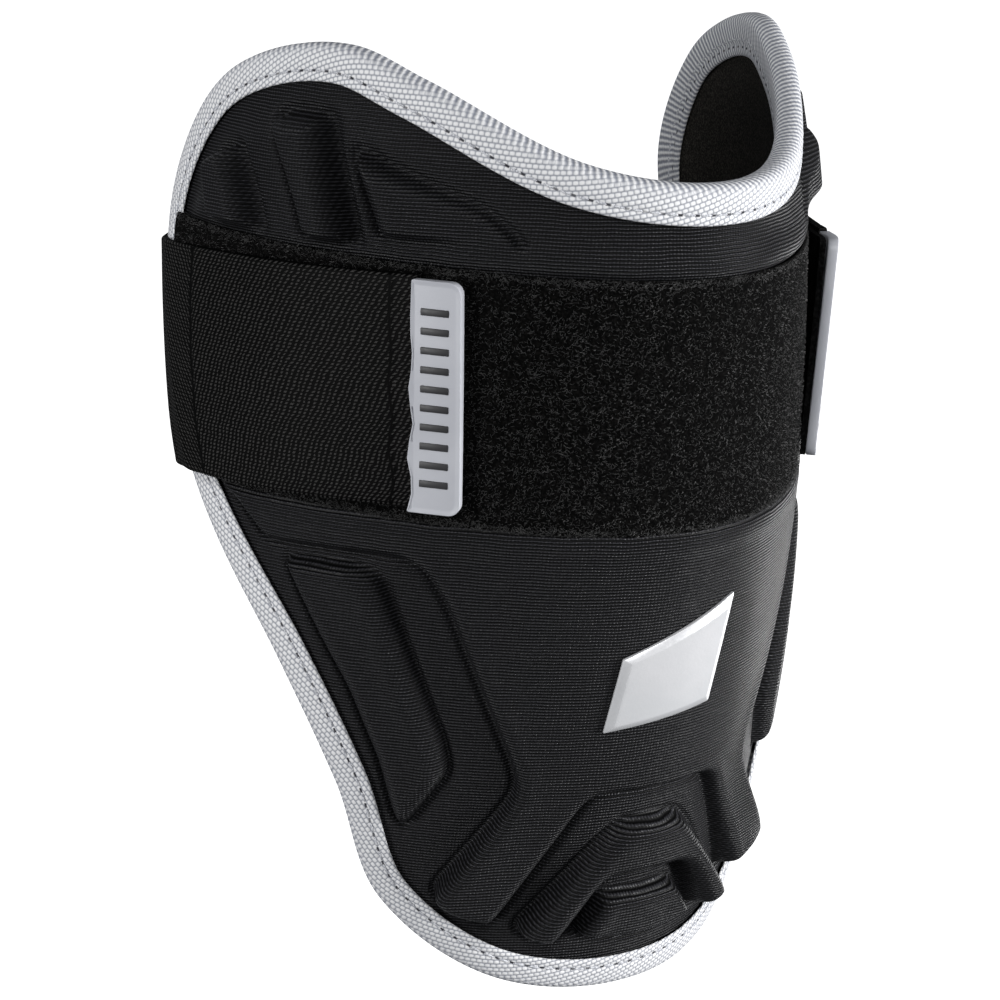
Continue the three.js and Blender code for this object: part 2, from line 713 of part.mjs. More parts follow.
// Materials by colour, roughness and metalness
const finish = (color, roughness, metalness = 0) => new THREE.MeshStandardMaterial({ color, roughness, metalness });
const knit = finish(0x16161a, 0.75);
const nap = finish(0x121214, 0.95);
const tape = finish(0xc9cbd0, 0.8);
const pile = finish(0x0c0c0d, 0.95);
const elastic = finish(0x141416, 0.85);
const satinRubber = finish(0xc4c7ce, 0.45);
const satinMetal = finish(0xd2d4d8, 0.3, 0.9);

const guard = new THREE.Group();
const worn = new THREE.Group();
worn.position.z = -BAND_MIDDLE;
guard.add(worn);

function add(name, geometry, material) {
  const mesh = new THREE.Mesh(geometry, material);
  mesh.name = name;
  worn.add(mesh);
}

add("shell", geometryFrom(shellSolid), knit);
add("lining", geometryFrom(liningSolid), nap);
add("edge_binding", edgeBinding(), tape);
add("loop_field", loopSheet(0, -SEAT_DEPTH + GAP, LOOP_FACE), pile);
add("back_strap", backStrap(), elastic);
for (const [side, word] of [[-1, "left"], [1, "right"]]) {
  add(`hook_pad_${word}`, hookPad(side), nap);
  add(`pull_tab_${word}`, pullTab(side), satinRubber);
}
add("badge", badge(), satinMetal);

export default guard;
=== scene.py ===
"""Baseball elbow guard as worn on an arm: the visible model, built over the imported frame.

Places on the guard are a turn about the arm axis (0 at the front, growing towards +X), a height
above the bottom tip and a height "proud" of the plate's outer surface. Lengths are millimetres
until a mesh is made, and metres from there on.
"""
import logging
import math
from dataclasses import dataclass, field
from enum import Enum
from typing import Callable, Sequence, Union

import bpy
import numpy as np
from mathutils import Matrix, Vector

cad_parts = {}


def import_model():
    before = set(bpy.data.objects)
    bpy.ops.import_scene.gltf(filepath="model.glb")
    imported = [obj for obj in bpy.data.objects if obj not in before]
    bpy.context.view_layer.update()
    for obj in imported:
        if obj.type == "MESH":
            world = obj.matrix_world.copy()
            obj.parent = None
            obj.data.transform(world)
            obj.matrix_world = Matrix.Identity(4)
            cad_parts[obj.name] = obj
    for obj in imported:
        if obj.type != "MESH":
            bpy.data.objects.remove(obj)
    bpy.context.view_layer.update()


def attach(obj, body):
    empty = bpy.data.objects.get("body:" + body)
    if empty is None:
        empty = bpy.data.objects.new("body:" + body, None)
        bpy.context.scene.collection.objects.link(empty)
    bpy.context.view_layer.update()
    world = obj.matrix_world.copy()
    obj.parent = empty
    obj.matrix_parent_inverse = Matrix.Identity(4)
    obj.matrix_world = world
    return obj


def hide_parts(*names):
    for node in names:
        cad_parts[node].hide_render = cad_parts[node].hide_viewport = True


LOG = logging.getLogger("elbow_guard")
Rows = Sequence[tuple[float, float]]
Fed = Union[float, bpy.types.NodeSocket]
Colour = Union[Sequence[float], bpy.types.NodeSocket]


class Side(Enum):
    """A side of the guard, as the sign of X."""

    LEFT = -1
    RIGHT = 1


def smooth(value: np.ndarray, low: float, high: float) -> np.ndarray:
    """Runs from 0 at low to 1 at high with level ends.

    Args:
        value: what is read.
        low: where it starts.
        high: where it ends.

    Returns:
        The share.
    """
    share = np.clip((value - low) / (high - low), 0.0, 1.0)
    return share * share * (3.0 - 2.0 * share)


def spline(knots: np.ndarray, values: np.ndarray, at: np.ndarray) -> np.ndarray:
    """Reads a natural cubic spline that goes straight on beyond both ends.

    Args:
        knots: growing places of the known values.
        values: the known values.
        at: places to read.

    Returns:
        The value at each place.
    """
    count = len(knots)
    steps = np.diff(knots)
    slopes = np.diff(values) / steps
    matrix = np.eye(count)
    right = np.zeros(count)
    for i in range(1, count - 1):
        matrix[i, i - 1:i + 2] = steps[i - 1], 2 * (steps[i - 1] + steps[i]), steps[i]
        right[i] = 6 * (slopes[i] - slopes[i - 1])
    bend = np.linalg.solve(matrix, right)
    i = np.clip(np.searchsorted(knots, at) - 1, 0, count - 2)
    t = (at - knots[i]) / steps[i]
    inside = np.clip(t, 0.0, 1.0)
    sag = (inside - inside ** 3) * bend[i + 1] + (2 * inside - 3 * inside ** 2 + inside ** 3) * bend[i]
    run_on = np.where(t < 0, -bend[i + 1], np.where(t > 1, bend[i], 0.0)) * (t - inside)
    return values[i] + (values[i + 1] - values[i]) * t + (run_on - sag) * steps[i] ** 2 / 6


@dataclass(frozen=True)
class PlateForm:
    """The plate's outer surface: a keeled section that changes with the height."""

    height: float = 214.5
    width: float = 154.2
    front_depth: float = 97.0
    keel: float = 0.033
    band_middle: float = 0.664 * 214.5
    section_heights: tuple[float, ...] = (0.0, 0.28, 0.56, 0.956)
    half_shares: tuple[float, ...] = (0.933, 1.0, 0.965, 0.851)
    front_shares: tuple[float, ...] = (0.802, 0.88, 1.0, 1.085)
    setback_shares: tuple[float, ...] = (0.048, 0.0, 0.001, 0.009)

    def section(self, turn: np.ndarray, up: np.ndarray) -> np.ndarray:
        """Points of the bare surface, one for each turn and height.

        Args:
            turn: turns of the places.
            up: heights of the places.

        Returns:
            The points in millimetres.
        """
        turn, up = np.broadcast_arrays(np.asarray(turn, float), np.asarray(up, float))
        knots = np.array(self.section_heights)
        share = up / self.height
        half = spline(knots, np.array(self.half_shares), share) * self.width / 2
        front = spline(knots, np.array(self.front_shares), share) * self.front_depth
        setback = spline(knots, np.array(self.setback_shares), share) * self.front_depth
        x = half * (np.sin(turn) - self.keel * np.sin(3 * turn))
        y = setback - front * (np.cos(turn) + self.keel * np.cos(3 * turn))
        return np.stack([x, y, up], axis=-1)

    def slopes(self, turn: np.ndarray, up: np.ndarray) -> tuple[np.ndarray, np.ndarray]:
        """Directions along growing turn, per radian, and along growing height, per millimetre.

        Args:
            turn: turns of the places.
            up: heights of the places.

        Returns:
            The two directions at each place.
        """
        step = 1e-3
        round_way = (self.section(turn + step, up) - self.section(turn - step, up)) / (2 * step)
        rise = (self.section(turn, up + step) - self.section(turn, up - step)) / (2 * step)
        return round_way, rise

    def outward(self, turn: np.ndarray, up: np.ndarray) -> np.ndarray:
        """Unit normals that point away from the arm."""
        normal = np.cross(*self.slopes(turn, up))
        return normal / np.linalg.norm(normal, axis=-1, keepdims=True)

    def skin(self, turn: np.ndarray, up: np.ndarray, proud: np.ndarray) -> np.ndarray:
        """Points that stand a height proud of the surface."""
        proud = np.broadcast_to(np.asarray(proud, float), np.broadcast(turn, up).shape)
        return self.section(turn, up) + self.outward(turn, up) * proud[..., None]

    def along(self, turn: np.ndarray, up: np.ndarray, steps: int = 24) -> np.ndarray:
        """Signed length round the surface from the front to each turn, at its height.

        Args:
            turn: turns of the places.
            up: heights of the places.
            steps: straight steps that each length is summed from.

        Returns:
            The lengths in millimetres.
        """
        length = np.zeros(np.broadcast(turn, up).shape)
        previous = self.section(0.0 * turn, up)
        for i in range(1, steps + 1):
            point = self.section(turn * i / steps, up)
            length += np.linalg.norm(point - previous, axis=-1)
            previous = point
        return np.sign(turn) * length

    def turn_after(self, along: np.ndarray, up: np.ndarray) -> np.ndarray:
        """Turn that lies a length round the surface from the front.

        Args:
            along: lengths from the front.
            up: heights of the places.

        Returns:
            The turns.
        """
        turn = 2 * np.asarray(along, float) / self.width + 0.0 * up
        for _ in range(5):
            pace = np.linalg.norm(self.slopes(turn, up)[0], axis=-1)
            turn = turn - (self.along(turn, up) - along) / pace
        return turn

    def placed(self, points: np.ndarray) -> np.ndarray:
        """Points in metres in the object's frame, whose origin is at the middle of the strap."""
        return (points - np.array([0.0, 0.0, self.band_middle])) / 1000.0


@dataclass
class GuardEdge:
    """The guard's outer edge: one closed curve over the wings and the bottom tip."""

    plate: PlateForm
    corners: tuple[float, float] = (0.184, 0.42)
    rows: Rows = (
        (0, 0.882), (26.7, 0.901), (50.5, 0.972), (62.1, 1), (74.8, 0.988), (86.6, 0.943),
        (97.2, 0.811), (90.4, 0.607), (64.7, 0.371), (54, 0.241), (46.2, 0.105), (28.4, 0.021),
        (0, 0),
    )
    places: np.ndarray = field(init=False)
    lengths: np.ndarray = field(init=False)

    def __post_init__(self) -> None:
        """Draws the curve through the rows and measures it."""
        self.radius = 0.41 * self.plate.width
        right = np.array(self.rows, float) * (math.radians(1) * self.radius, self.plate.height)
        left = right[-2:0:-1] * (-1, 1)
        knots = np.concatenate([right, left])
        self.places = self._curve(knots)
        paces = np.linalg.norm(np.diff(self.places, axis=0), axis=1)
        self.lengths = np.concatenate([[0.0], np.cumsum(paces)])

    @staticmethod
    def _curve(knots: np.ndarray, steps: int = 120) -> np.ndarray:
        """Closed centripetal curve through the knots, its first point repeated at the end.

        Args:
            knots: the points to pass.
            steps: points for each knot.

        Returns:
            The points of the curve.
        """
        pieces = []
        share = np.linspace(0, 1, steps, endpoint=False)[:, None]
        for i in range(len(knots)):
            p0, p1, p2, p3 = (knots[(i + k) % len(knots)] for k in (-1, 0, 1, 2))
            d0, d1, d2 = (math.sqrt(np.linalg.norm(b - a)) for a, b in ((p0, p1), (p1, p2), (p2, p3)))
            m1 = ((p1 - p0) / d0 - (p2 - p0) / (d0 + d1) + (p2 - p1) / d1) * d1
            m2 = ((p2 - p1) / d1 - (p3 - p1) / (d1 + d2) + (p3 - p2) / d2) * d1
            cubic = (2 * p1 - 2 * p2 + m1 + m2) * share ** 3
            pieces.append(cubic + (3 * p2 - 3 * p1 - 2 * m1 - m2) * share ** 2 + m1 * share + p1)
        return np.concatenate([*pieces, knots[:1]])

    def at(self, share: np.ndarray) -> tuple[np.ndarray, np.ndarray]:
        """Turn and height at shares of the edge's length, clockwise from the dip at the top.

        Args:
            share: shares of the whole length.

        Returns:
            The turns and the heights.
        """
        reach = np.mod(share, 1.0) * self.lengths[-1]
        across = np.interp(reach, self.lengths, self.places[:, 0])
        return across / self.radius, np.interp(reach, self.lengths, self.places[:, 1])

    def inset(self, share: np.ndarray, distance: np.ndarray) -> tuple[np.ndarray, np.ndarray]:
        """Turn and height that lie a distance inside the edge.

        Args:
            share: places along the edge.
            distance: millimetres inside the edge, for each place.

        Returns:
            The turns and the heights.
        """
        turn, up = self.at(share)
        travel = self.plate.section(*self.at(share + 0.001)) - self.plate.section(*self.at(share - 0.001))
        inward = np.cross(travel, self.plate.outward(turn, up))
        inward /= np.linalg.norm(inward, axis=-1, keepdims=True)
        round_way, rise = self.plate.slopes(turn, up)
        turn = turn + distance * np.sum(inward * round_way, -1) / np.sum(round_way ** 2, -1)
        return turn, up + distance * np.sum(inward * rise, -1) / np.sum(rise ** 2, -1)

    def length(self, distance: float = 0.0, count: int = 1200) -> tuple[np.ndarray, np.ndarray]:
        """Shares of the edge, and the real length up to each along a line inside it.

        Args:
            distance: how far inside the edge the line runs.
            count: how many steps.

        Returns:
            The shares and the lengths.
        """
        share = np.linspace(0, 1, count + 1)
        turn, up = self.inset(share, np.full(count + 1, distance))
        points = self.plate.section(turn, up)
        paces = np.linalg.norm(np.diff(points, axis=0), axis=1)
        return share, np.concatenate([[0.0], np.cumsum(paces)])

    def free_turn(self, up: np.ndarray) -> np.ndarray:
        """Turn of a wing's free edge at each height of the band.

        Args:
            up: heights of the places.

        Returns:
            The turns.
        """
        share = np.linspace(0.15, 0.4, 400)
        turn, height = self.at(share)
        order = np.argsort(height)
        return np.interp(up, height[order], turn[order])

    def patch(self, columns: int, rows: int, distance: float) -> tuple[np.ndarray, np.ndarray]:
        """Four-sided net of turns and heights over all that lies inside a distance from the edge.

        Args:
            columns: cells across.
            rows: cells up.
            distance: millimetres from the edge to the net's border.

        Returns:
            The turns and the heights, rows from the bottom, columns from the left.
        """
        top, bottom = self.corners
        across = np.linspace(0, 1, columns + 1)
        upward = np.linspace(0, 1, rows + 1)

        def border(first: float, last: float, share: np.ndarray) -> np.ndarray:
            """Turns and heights of one side of the net.

            Args:
                first: share of the edge at its start.
                last: share of the edge at its end.
                share: places between them.

            Returns:
                One row for each place.
            """
            place = first + (last - first) * share
            return np.stack(self.inset(place, np.full(len(place), distance)), axis=-1)

        high = border(-top, top, across)
        low = border(1 - bottom, bottom, across)
        left = border(1 - bottom, 1 - top, upward)
        right = border(bottom, top, upward)
        s = across[None, :, None]
        t = upward[:, None, None]
        net = left[:, None] * (1 - s) + right[:, None] * s + low[None] * (1 - t) + high[None] * t
        ends = low[0] * (1 - s) * (1 - t) + low[-1] * s * (1 - t) + high[0] * (1 - s) * t + high[-1] * s * t
        net = net - ends
        return net[..., 0], net[..., 1]


@dataclass(frozen=True)
class RaisedPanel:
    """A raised panel of the foam, outlined on one side of the guard in turns and height shares."""

    rows: Rows
    top: float
    shoulder_front: float = 5.0
    shoulder_rear: float = 5.0
    crease: float = 1.25
    hump: float = 0.3
    falls_over: float = 0.0
    pointed: bool = False
    cut_below: float = 0.0
    climb: float = 0.0
    climb_span: tuple[float, float] = (0.0, 1.0)
    crosses_front: bool = False

    def outline(self, plate: PlateForm) -> np.ndarray:
        """The closed outline in the flattened surface, with its corners cut round.

        Args:
            plate: the surface that it lies on.

        Returns:
            The corners.
        """
        rows = np.array(self.rows, float)
        if self.crosses_front:
            rows = np.concatenate([rows, rows[-2:0:-1] * (-1, 1)])
        turn = np.radians(rows[:, 0])
        up = rows[:, 1] * plate.height
        loop = np.stack([plate.along(turn, up), up], axis=-1)
        for _ in range(2):
            after = np.roll(loop, -1, axis=0)
            reach = np.linalg.norm(after - loop, axis=1, keepdims=True)
            cut = np.minimum(0.25, 1.6 / reach)
            cuts = [loop + (after - loop) * cut, after + (loop - after) * cut]
            loop = np.stack(cuts, axis=1).reshape(-1, 2)
        return loop


def distance_inside(
    outline: np.ndarray, x: np.ndarray, y: np.ndarray
) -> tuple[np.ndarray, np.ndarray, np.ndarray]:
    """Measures places against a closed outline in the flattened surface.

    Args:
        outline: the outline's corners.
        x: places round the surface.
        y: places up the surface.

    Returns:
        The distance inside, negative outside, how far the nearest side faces away from the front,
        -1 to 1, and how far the place lies in front of the outline's rear side.
    """
    nearest = np.full(x.shape, np.inf)
    facing = np.zeros(x.shape)
    rear = np.full(x.shape, -np.inf)
    inside = np.zeros(x.shape, bool)
    for a, b in zip(outline, np.roll(outline, -1, axis=0)):
        run = b - a
        size = max(float(run @ run), 1e-12)
        t = np.clip(((x - a[0]) * run[0] + (y - a[1]) * run[1]) / size, 0, 1)
        gap_x = a[0] + t * run[0] - x
        gap = np.hypot(gap_x, a[1] + t * run[1] - y)
        closer = gap < nearest
        nearest = np.where(closer, gap, nearest)
        facing = np.where(closer, -gap_x / np.maximum(gap, 1e-6), facing)
        if a[1] != b[1]:
            crosses = (a[1] > y) != (b[1] > y)
            side = a[0] + run[0] * (y - a[1]) / run[1]
            inside ^= crosses & (x < side)
            rear = np.where(crosses, np.maximum(rear, side), rear)
    from_rear = np.where(np.isfinite(rear), rear - x, 0.0)
    return np.where(inside, nearest, -nearest), np.where(inside, facing, -facing), from_rear


@dataclass
class Relief:
    """Heights of the cover over the plate's surface: the sunken field and the raised panels."""

    plate: PlateForm
    edge: GuardEdge
    plate_rise: float = 2.5
    seat_depth: float = 1.3
    tape_width: float = 8.3
    upper_slope: float = 11.0
    loop_width: float = 55.4
    loop_curl: float = 0.0137 * 214.5
    fin_rise: float = 5.2
    rib_rise: float = 2.3
    arm_rise: float = 4.4
    fold_pitch: float = 3.1
    fold_reach: float = 6.0
    fold_depth: float = 0.3
    lip_low: float = 0.5
    lip_high: float = 0.4
    deepest: float = -4.2
    panels: tuple[RaisedPanel, ...] = ()

    def __post_init__(self) -> None:
        """Lists the raised panels."""
        self.main = RaisedPanel((
            (-16, 0.66), (96, 0.66), (94, 0.56), (74, 0.532), (70.5, 0.513), (67.5, 0.494), (46.3, 0.496),
            (43, 0.485), (39.3, 0.448), (27, 0.275), (26, 0.249), (28.1, 0.221), (38.2, 0.122), (35, 0.104),
            (27.8, 0.088), (13.7, 0.235), (9.8, 0.24), (-16, 0.238)), 0.0,
            shoulder_front=3.6, shoulder_rear=3.6, climb=self.arm_rise, climb_span=(20, 46))
        flank = RaisedPanel((
            (64.4, 0.482), (53.2, 0.485), (49.1, 0.473), (37.9, 0.301), (36.5, 0.266), (42.6, 0.196),
            (44.4, 0.21), (47.2, 0.274), (52.4, 0.351), (58.4, 0.415)), 1.2, shoulder_front=4.0,
            shoulder_rear=5.0)
        middle_rib = RaisedPanel((
            (0, 0.206), (6.4, 0.203), (9.9, 0.188), (24.6, 0.08), (17, 0.066), (8.5, 0.141), (0, 0.142)),
            self.rib_rise, shoulder_front=4.4, shoulder_rear=4.4, hump=0.0, climb=2.6, climb_span=(8, 24),
            crosses_front=True)
        lower_rib = RaisedPanel((
            (0, 0.121), (7.2, 0.12), (9.7, 0.112), (14.1, 0.074), (8.1, 0.066), (0, 0.06)),
            self.rib_rise - 0.8, shoulder_front=3.8, shoulder_rear=3.8, hump=0.0, climb=1.4,
            climb_span=(5, 15), crosses_front=True)
        rear_fin = RaisedPanel((
            (83.5, 0.876), (79.2, 0.89), (77.4, 0.884), (71, 0.796), (80, 0.796), (83, 0.85)),
            self.fin_rise + 0.2, shoulder_front=3.2, shoulder_rear=3.4, crease=2.6, hump=0.0,
            pointed=True, cut_below=0.815)
        middle_fin = RaisedPanel((
            (71.5, 0.922), (70, 0.93), (64.2, 0.931), (62.5, 0.925), (55.8, 0.792), (63, 0.792),
            (66.8, 0.855)), self.fin_rise + 1.0, shoulder_front=4.2, shoulder_rear=4.0,
            crease=2.6, hump=0.0, pointed=True, cut_below=0.815)
        front_fin = RaisedPanel((
            (58.7, 0.903), (51.4, 0.882), (40.2, 0.853), (34, 0.822), (36, 0.792), (51.5, 0.792)),
            self.fin_rise, shoulder_front=4.4, shoulder_rear=3.4, crease=2.6, hump=0.0, falls_over=26.0,
            pointed=True, cut_below=0.825)
        self.panels = (flank, middle_rib, lower_rib, rear_fin, middle_fin, front_fin)

    def loop_bottom(self, turn: np.ndarray) -> np.ndarray:
        """Height of the loop field's lower edge at each turn."""
        return self.plate.band_middle - self.loop_width / 2 + self.loop_curl * (1 - np.cos(turn))

    def proud(self, turn: np.ndarray, up: np.ndarray) -> np.ndarray:
        """Height of the cover at each place, proud of the plate's surface.

        Args:
            turn: turns of the places.
            up: heights of the places.

        Returns:
            Millimetres proud.
        """
        x = self.plate.along(np.abs(turn), up, steps=12)
        share = np.linspace(0, 1, 180, endpoint=False)
        ring_turn, ring_up = self.edge.inset(share, np.full(180, self.tape_width))
        ring = np.stack([self.plate.along(ring_turn, ring_up), ring_up], axis=-1)
        from_tape = distance_inside(ring, x, up)[0]
        low = self.loop_bottom(turn)
        above = smooth(up, low - 4, low + 2)
        base = -self.plate_rise * (1 - above * smooth(from_tape, 1, self.upper_slope + 1))
        height = base.copy()
        dips = np.zeros_like(base)
        outer_end = 1 - smooth(up, 26, 58)
        for panel in (self.main, *self.panels):
            inside, facing, from_rear = distance_inside(panel.outline(self.plate), x, up)
            towards_front = smooth(-facing, -0.5, 0.5)
            shoulder = panel.shoulder_rear + (panel.shoulder_front - panel.shoulder_rear) * towards_front
            part = np.clip(inside / shoulder, 0, 1)
            fade = smooth(from_tape, 0, 3)
            top = panel.top + panel.climb * smooth(x, *panel.climb_span) * outer_end
            if panel.falls_over:
                top = top * (1 - 0.9 * smooth(from_rear, 3, panel.falls_over))
            round_top = np.clip(1 - (1 - part) ** 2.2, 0, 1) ** 0.8
            rise = (part * (1.5 - 0.5 * part) if panel.pointed else round_top) * (top - base)
            if panel.cut_below:
                foot_line = panel.cut_below * self.plate.height
                rise *= smooth(up, foot_line - 1.5, foot_line + 1.0)
            rise += panel.hump * np.exp(-((inside - 0.8 * shoulder) / 2.4) ** 2) * (inside > 0)
            height += rise * fade
            foot = np.exp(-((inside + 0.4) / (1.3 if panel.pointed else 0.85)) ** 2) * fade
            if panel.cut_below:
                foot *= smooth(up, foot_line - 2.0, foot_line)
            if panel is self.main:
                folds = np.sin(2 * math.pi * inside / self.fold_pitch) * (inside > 0)
                folds *= np.exp(-np.maximum(inside - 1, 0) / self.fold_reach)
                height -= self.fold_depth * folds * smooth(x, 62, 74) * (1 - above) * fade
            dips = np.maximum(dips, panel.crease * foot * (1 if panel is not self.main else 1 - above))
        lip = self.lip_low * np.exp(-((up - low + 3.5) / 2.2) ** 2) * smooth(from_tape, 2, 9)
        top = low + self.loop_width
        lip += self.lip_high * np.exp(-((up - top - 3.5) / 2.2) ** 2) * smooth(from_tape, 2, 9)
        height += lip - dips
        seat = smooth(up, low - 1.2, low + 0.6) * (1 - smooth(up, top - 0.6, top + 1.2))
        height = height * (1 - seat) + np.minimum(height, -self.seat_depth - 0.1) * seat
        height[1:-1] = (height[:-2] + 2 * height[1:-1] + height[2:]) / 4
        height[:, 1:-1] = (height[:, :-2] + 2 * height[:, 1:-1] + height[:, 2:]) / 4
        return np.maximum(height, self.deepest)


class Bench:
    """The work that every piece shares: adding, shaping and finishing a mesh."""

    @staticmethod
    def clear() -> None:
        """Leaves edit mode and selects nothing."""
        if bpy.context.object and bpy.context.object.mode != "OBJECT":
            bpy.ops.object.mode_set(mode="OBJECT")
        bpy.ops.object.select_all(action="DESELECT")

    @staticmethod
    def pick(obj: bpy.types.Object) -> None:
        """Makes an object the only selected one and the active one.

        Args:
            obj: the piece.
        """
        Bench.clear()
        obj.select_set(True)
        bpy.context.view_layer.objects.active = obj

    @staticmethod
    def net(name: str, points: np.ndarray, cloth: np.ndarray) -> bpy.types.Object:
        """Adds a grid and shapes it over a net of points.

        Args:
            name: the piece's name.
            points: rows by columns of points, in metres.
            cloth: rows by columns of places on the flat cloth, in millimetres.

        Returns:
            The new object.
        """
        rows, columns = points.shape[:2]
        Bench.clear()
        bpy.ops.mesh.primitive_grid_add(
            x_subdivisions=columns - 1, y_subdivisions=rows - 1, size=2, calc_uvs=True, location=(0, 0, 0))
        obj = bpy.context.object
        obj.name = obj.data.name = name
        mesh = obj.data
        flat = np.zeros(len(mesh.vertices) * 3)
        mesh.vertices.foreach_get("co", flat)
        flat = flat.reshape(-1, 3)
        i = np.rint((flat[:, 0] + 1) / 2 * (columns - 1)).astype(int)
        j = np.rint((flat[:, 1] + 1) / 2 * (rows - 1)).astype(int)
        mesh.vertices.foreach_set("co", points[j, i].ravel())
        corner = np.zeros(len(mesh.loops), int)
        mesh.loops.foreach_get("vertex_index", corner)
        layer = mesh.uv_layers[0]
        layer.name = "cloth"
        layer.data.foreach_set("uv", cloth[j[corner], i[corner]].ravel())
        mesh.update()
        return obj

    @staticmethod
    def closed(obj: bpy.types.Object, caps: bool = False, gap: float = 1e-6) -> None:
        """Merges a shape's meeting borders and turns its faces outwards.

        Args:
            obj: the piece.
            caps: also closes open ends with a face.
            gap: metres within which two points become one.
        """
        Bench.pick(obj)
        bpy.ops.object.mode_set(mode="EDIT")
        bpy.ops.mesh.select_all(action="SELECT")
        bpy.ops.mesh.remove_doubles(threshold=gap)
        if caps:
            bpy.ops.mesh.select_all(action="DESELECT")
            bpy.ops.mesh.select_mode(type="EDGE")
            bpy.ops.mesh.select_non_manifold()
            bpy.ops.mesh.edge_face_add()
        bpy.ops.mesh.select_all(action="SELECT")
        bpy.ops.mesh.normals_make_consistent(inside=False)
        bpy.ops.object.mode_set(mode="OBJECT")

    @staticmethod
    def smoothed(obj: bpy.types.Object, angle: float = 40.0) -> None:
        """Shades a piece smooth up to an angle between faces, in degrees.

        Args:
            obj: the piece.
            angle: the largest angle that is smoothed.
        """
        Bench.pick(obj)
        bpy.ops.object.shade_smooth_by_angle(angle=math.radians(angle))
        Bench.clear()

    @staticmethod
    def thickened(obj: bpy.types.Object, thickness: float, offset: float) -> None:
        """Gives an open sheet a wall with Solidify, applied.

        Args:
            obj: the sheet.
            thickness: the wall in metres.
            offset: -1 puts it behind the faces and 1 before them.
        """
        Bench.pick(obj)
        wall = obj.modifiers.new("wall", "SOLIDIFY")
        wall.thickness = thickness
        wall.offset = offset
        wall.use_rim = True
        bpy.ops.object.modifier_apply(modifier=wall.name)

    @staticmethod
    def reshaped(obj: bpy.types.Object, change: Callable[[np.ndarray], np.ndarray]) -> None:
        """Moves every vertex to the place that a function gives for it.

        Args:
            obj: the piece.
            change: the function, from old places to new ones.
        """
        mesh = obj.data
        flat = np.zeros(len(mesh.vertices) * 3)
        mesh.vertices.foreach_get("co", flat)
        mesh.vertices.foreach_set("co", change(flat.reshape(-1, 3)).ravel())
        mesh.update()

    @staticmethod
    def strewn(
        name: str, pattern: bpy.types.Object, matrices: np.ndarray, origins: np.ndarray
    ) -> bpy.types.Object:
        """Copies a small shape many times into one mesh and removes the first one.

        Args:
            name: the new piece's name.
            pattern: the small shape, made round the origin.
            matrices: a 3 by 3 matrix for each copy.
            origins: the place of each copy.

        Returns:
            The new object.
        """
        source = pattern.data
        points = np.array([v.co for v in source.vertices])
        faces = [tuple(p.vertices) for p in source.polygons]
        spread = np.einsum("nij,vj->nvi", matrices, points) + origins[:, None, :]
        count = len(points)
        every = [tuple(v + k * count for v in f) for k in range(len(origins)) for f in faces]
        obj = Bench.added(name, spread.reshape(-1, 3), every)
        bpy.data.objects.remove(pattern)
        return obj

    @staticmethod
    def added(name: str, points: np.ndarray, faces: Sequence[tuple[int, ...]]) -> bpy.types.Object:
        """Adds a piece from its points and faces.

        Args:
            name: the new piece's name.
            points: its points in metres.
            faces: the point numbers of each face.

        Returns:
            The new object.
        """
        mesh = bpy.data.meshes.new(name)
        mesh.from_pydata(points.tolist(), [], faces)
        obj = bpy.data.objects.new(name, mesh)
        bpy.context.scene.collection.objects.link(obj)
        return obj

    @staticmethod
    def softened(obj: bpy.types.Object, width: float, segments: int, angle: float = 0.0) -> None:
        """Rounds a piece's edges with Bevel, applied.

        Args:
            obj: the piece, active.
            width: the rounding in metres.
            segments: steps across it.
            angle: least angle between faces that is rounded, in degrees; 0 keeps Blender's own.
        """
        soft = obj.modifiers.new("soft", "BEVEL")
        soft.width = width
        soft.segments = segments
        if angle:
            soft.limit_method = "ANGLE"
            soft.angle_limit = math.radians(angle)
        bpy.ops.object.modifier_apply(modifier=soft.name)

    @staticmethod
    def block(
        name: str, size: tuple[float, float, float], middle: tuple[float, float, float]
    ) -> bpy.types.Object:
        """Adds a block at its size in millimetres, with its place in its mesh.

        Args:
            name: the piece's name.
            size: width, length and height in millimetres.
            middle: its middle in metres.

        Returns:
            The new object, selected and active.
        """
        Bench.clear()
        bpy.ops.mesh.primitive_cube_add(size=1, location=middle)
        obj = bpy.context.object
        obj.name = obj.data.name = name
        obj.scale = [s / 1000 for s in size]
        bpy.ops.object.transform_apply(location=True, rotation=False, scale=True)
        return obj

    @staticmethod
    def picked(obj: bpy.types.Object, wanted: Callable[[Vector, Vector], bool]) -> None:
        """Selects the edges whose two ends pass a test, in edit mode.

        Args:
            obj: the piece.
            wanted: the test, on the two ends of an edge.
        """
        bpy.ops.mesh.select_mode(type="EDGE")
        bpy.ops.mesh.select_all(action="DESELECT")
        bpy.ops.object.mode_set(mode="OBJECT")
        mesh = obj.data
        for edge in mesh.edges:
            a, b = (mesh.vertices[v].co for v in edge.vertices)
            edge.select = wanted(a, b)
        bpy.ops.object.mode_set(mode="EDIT")


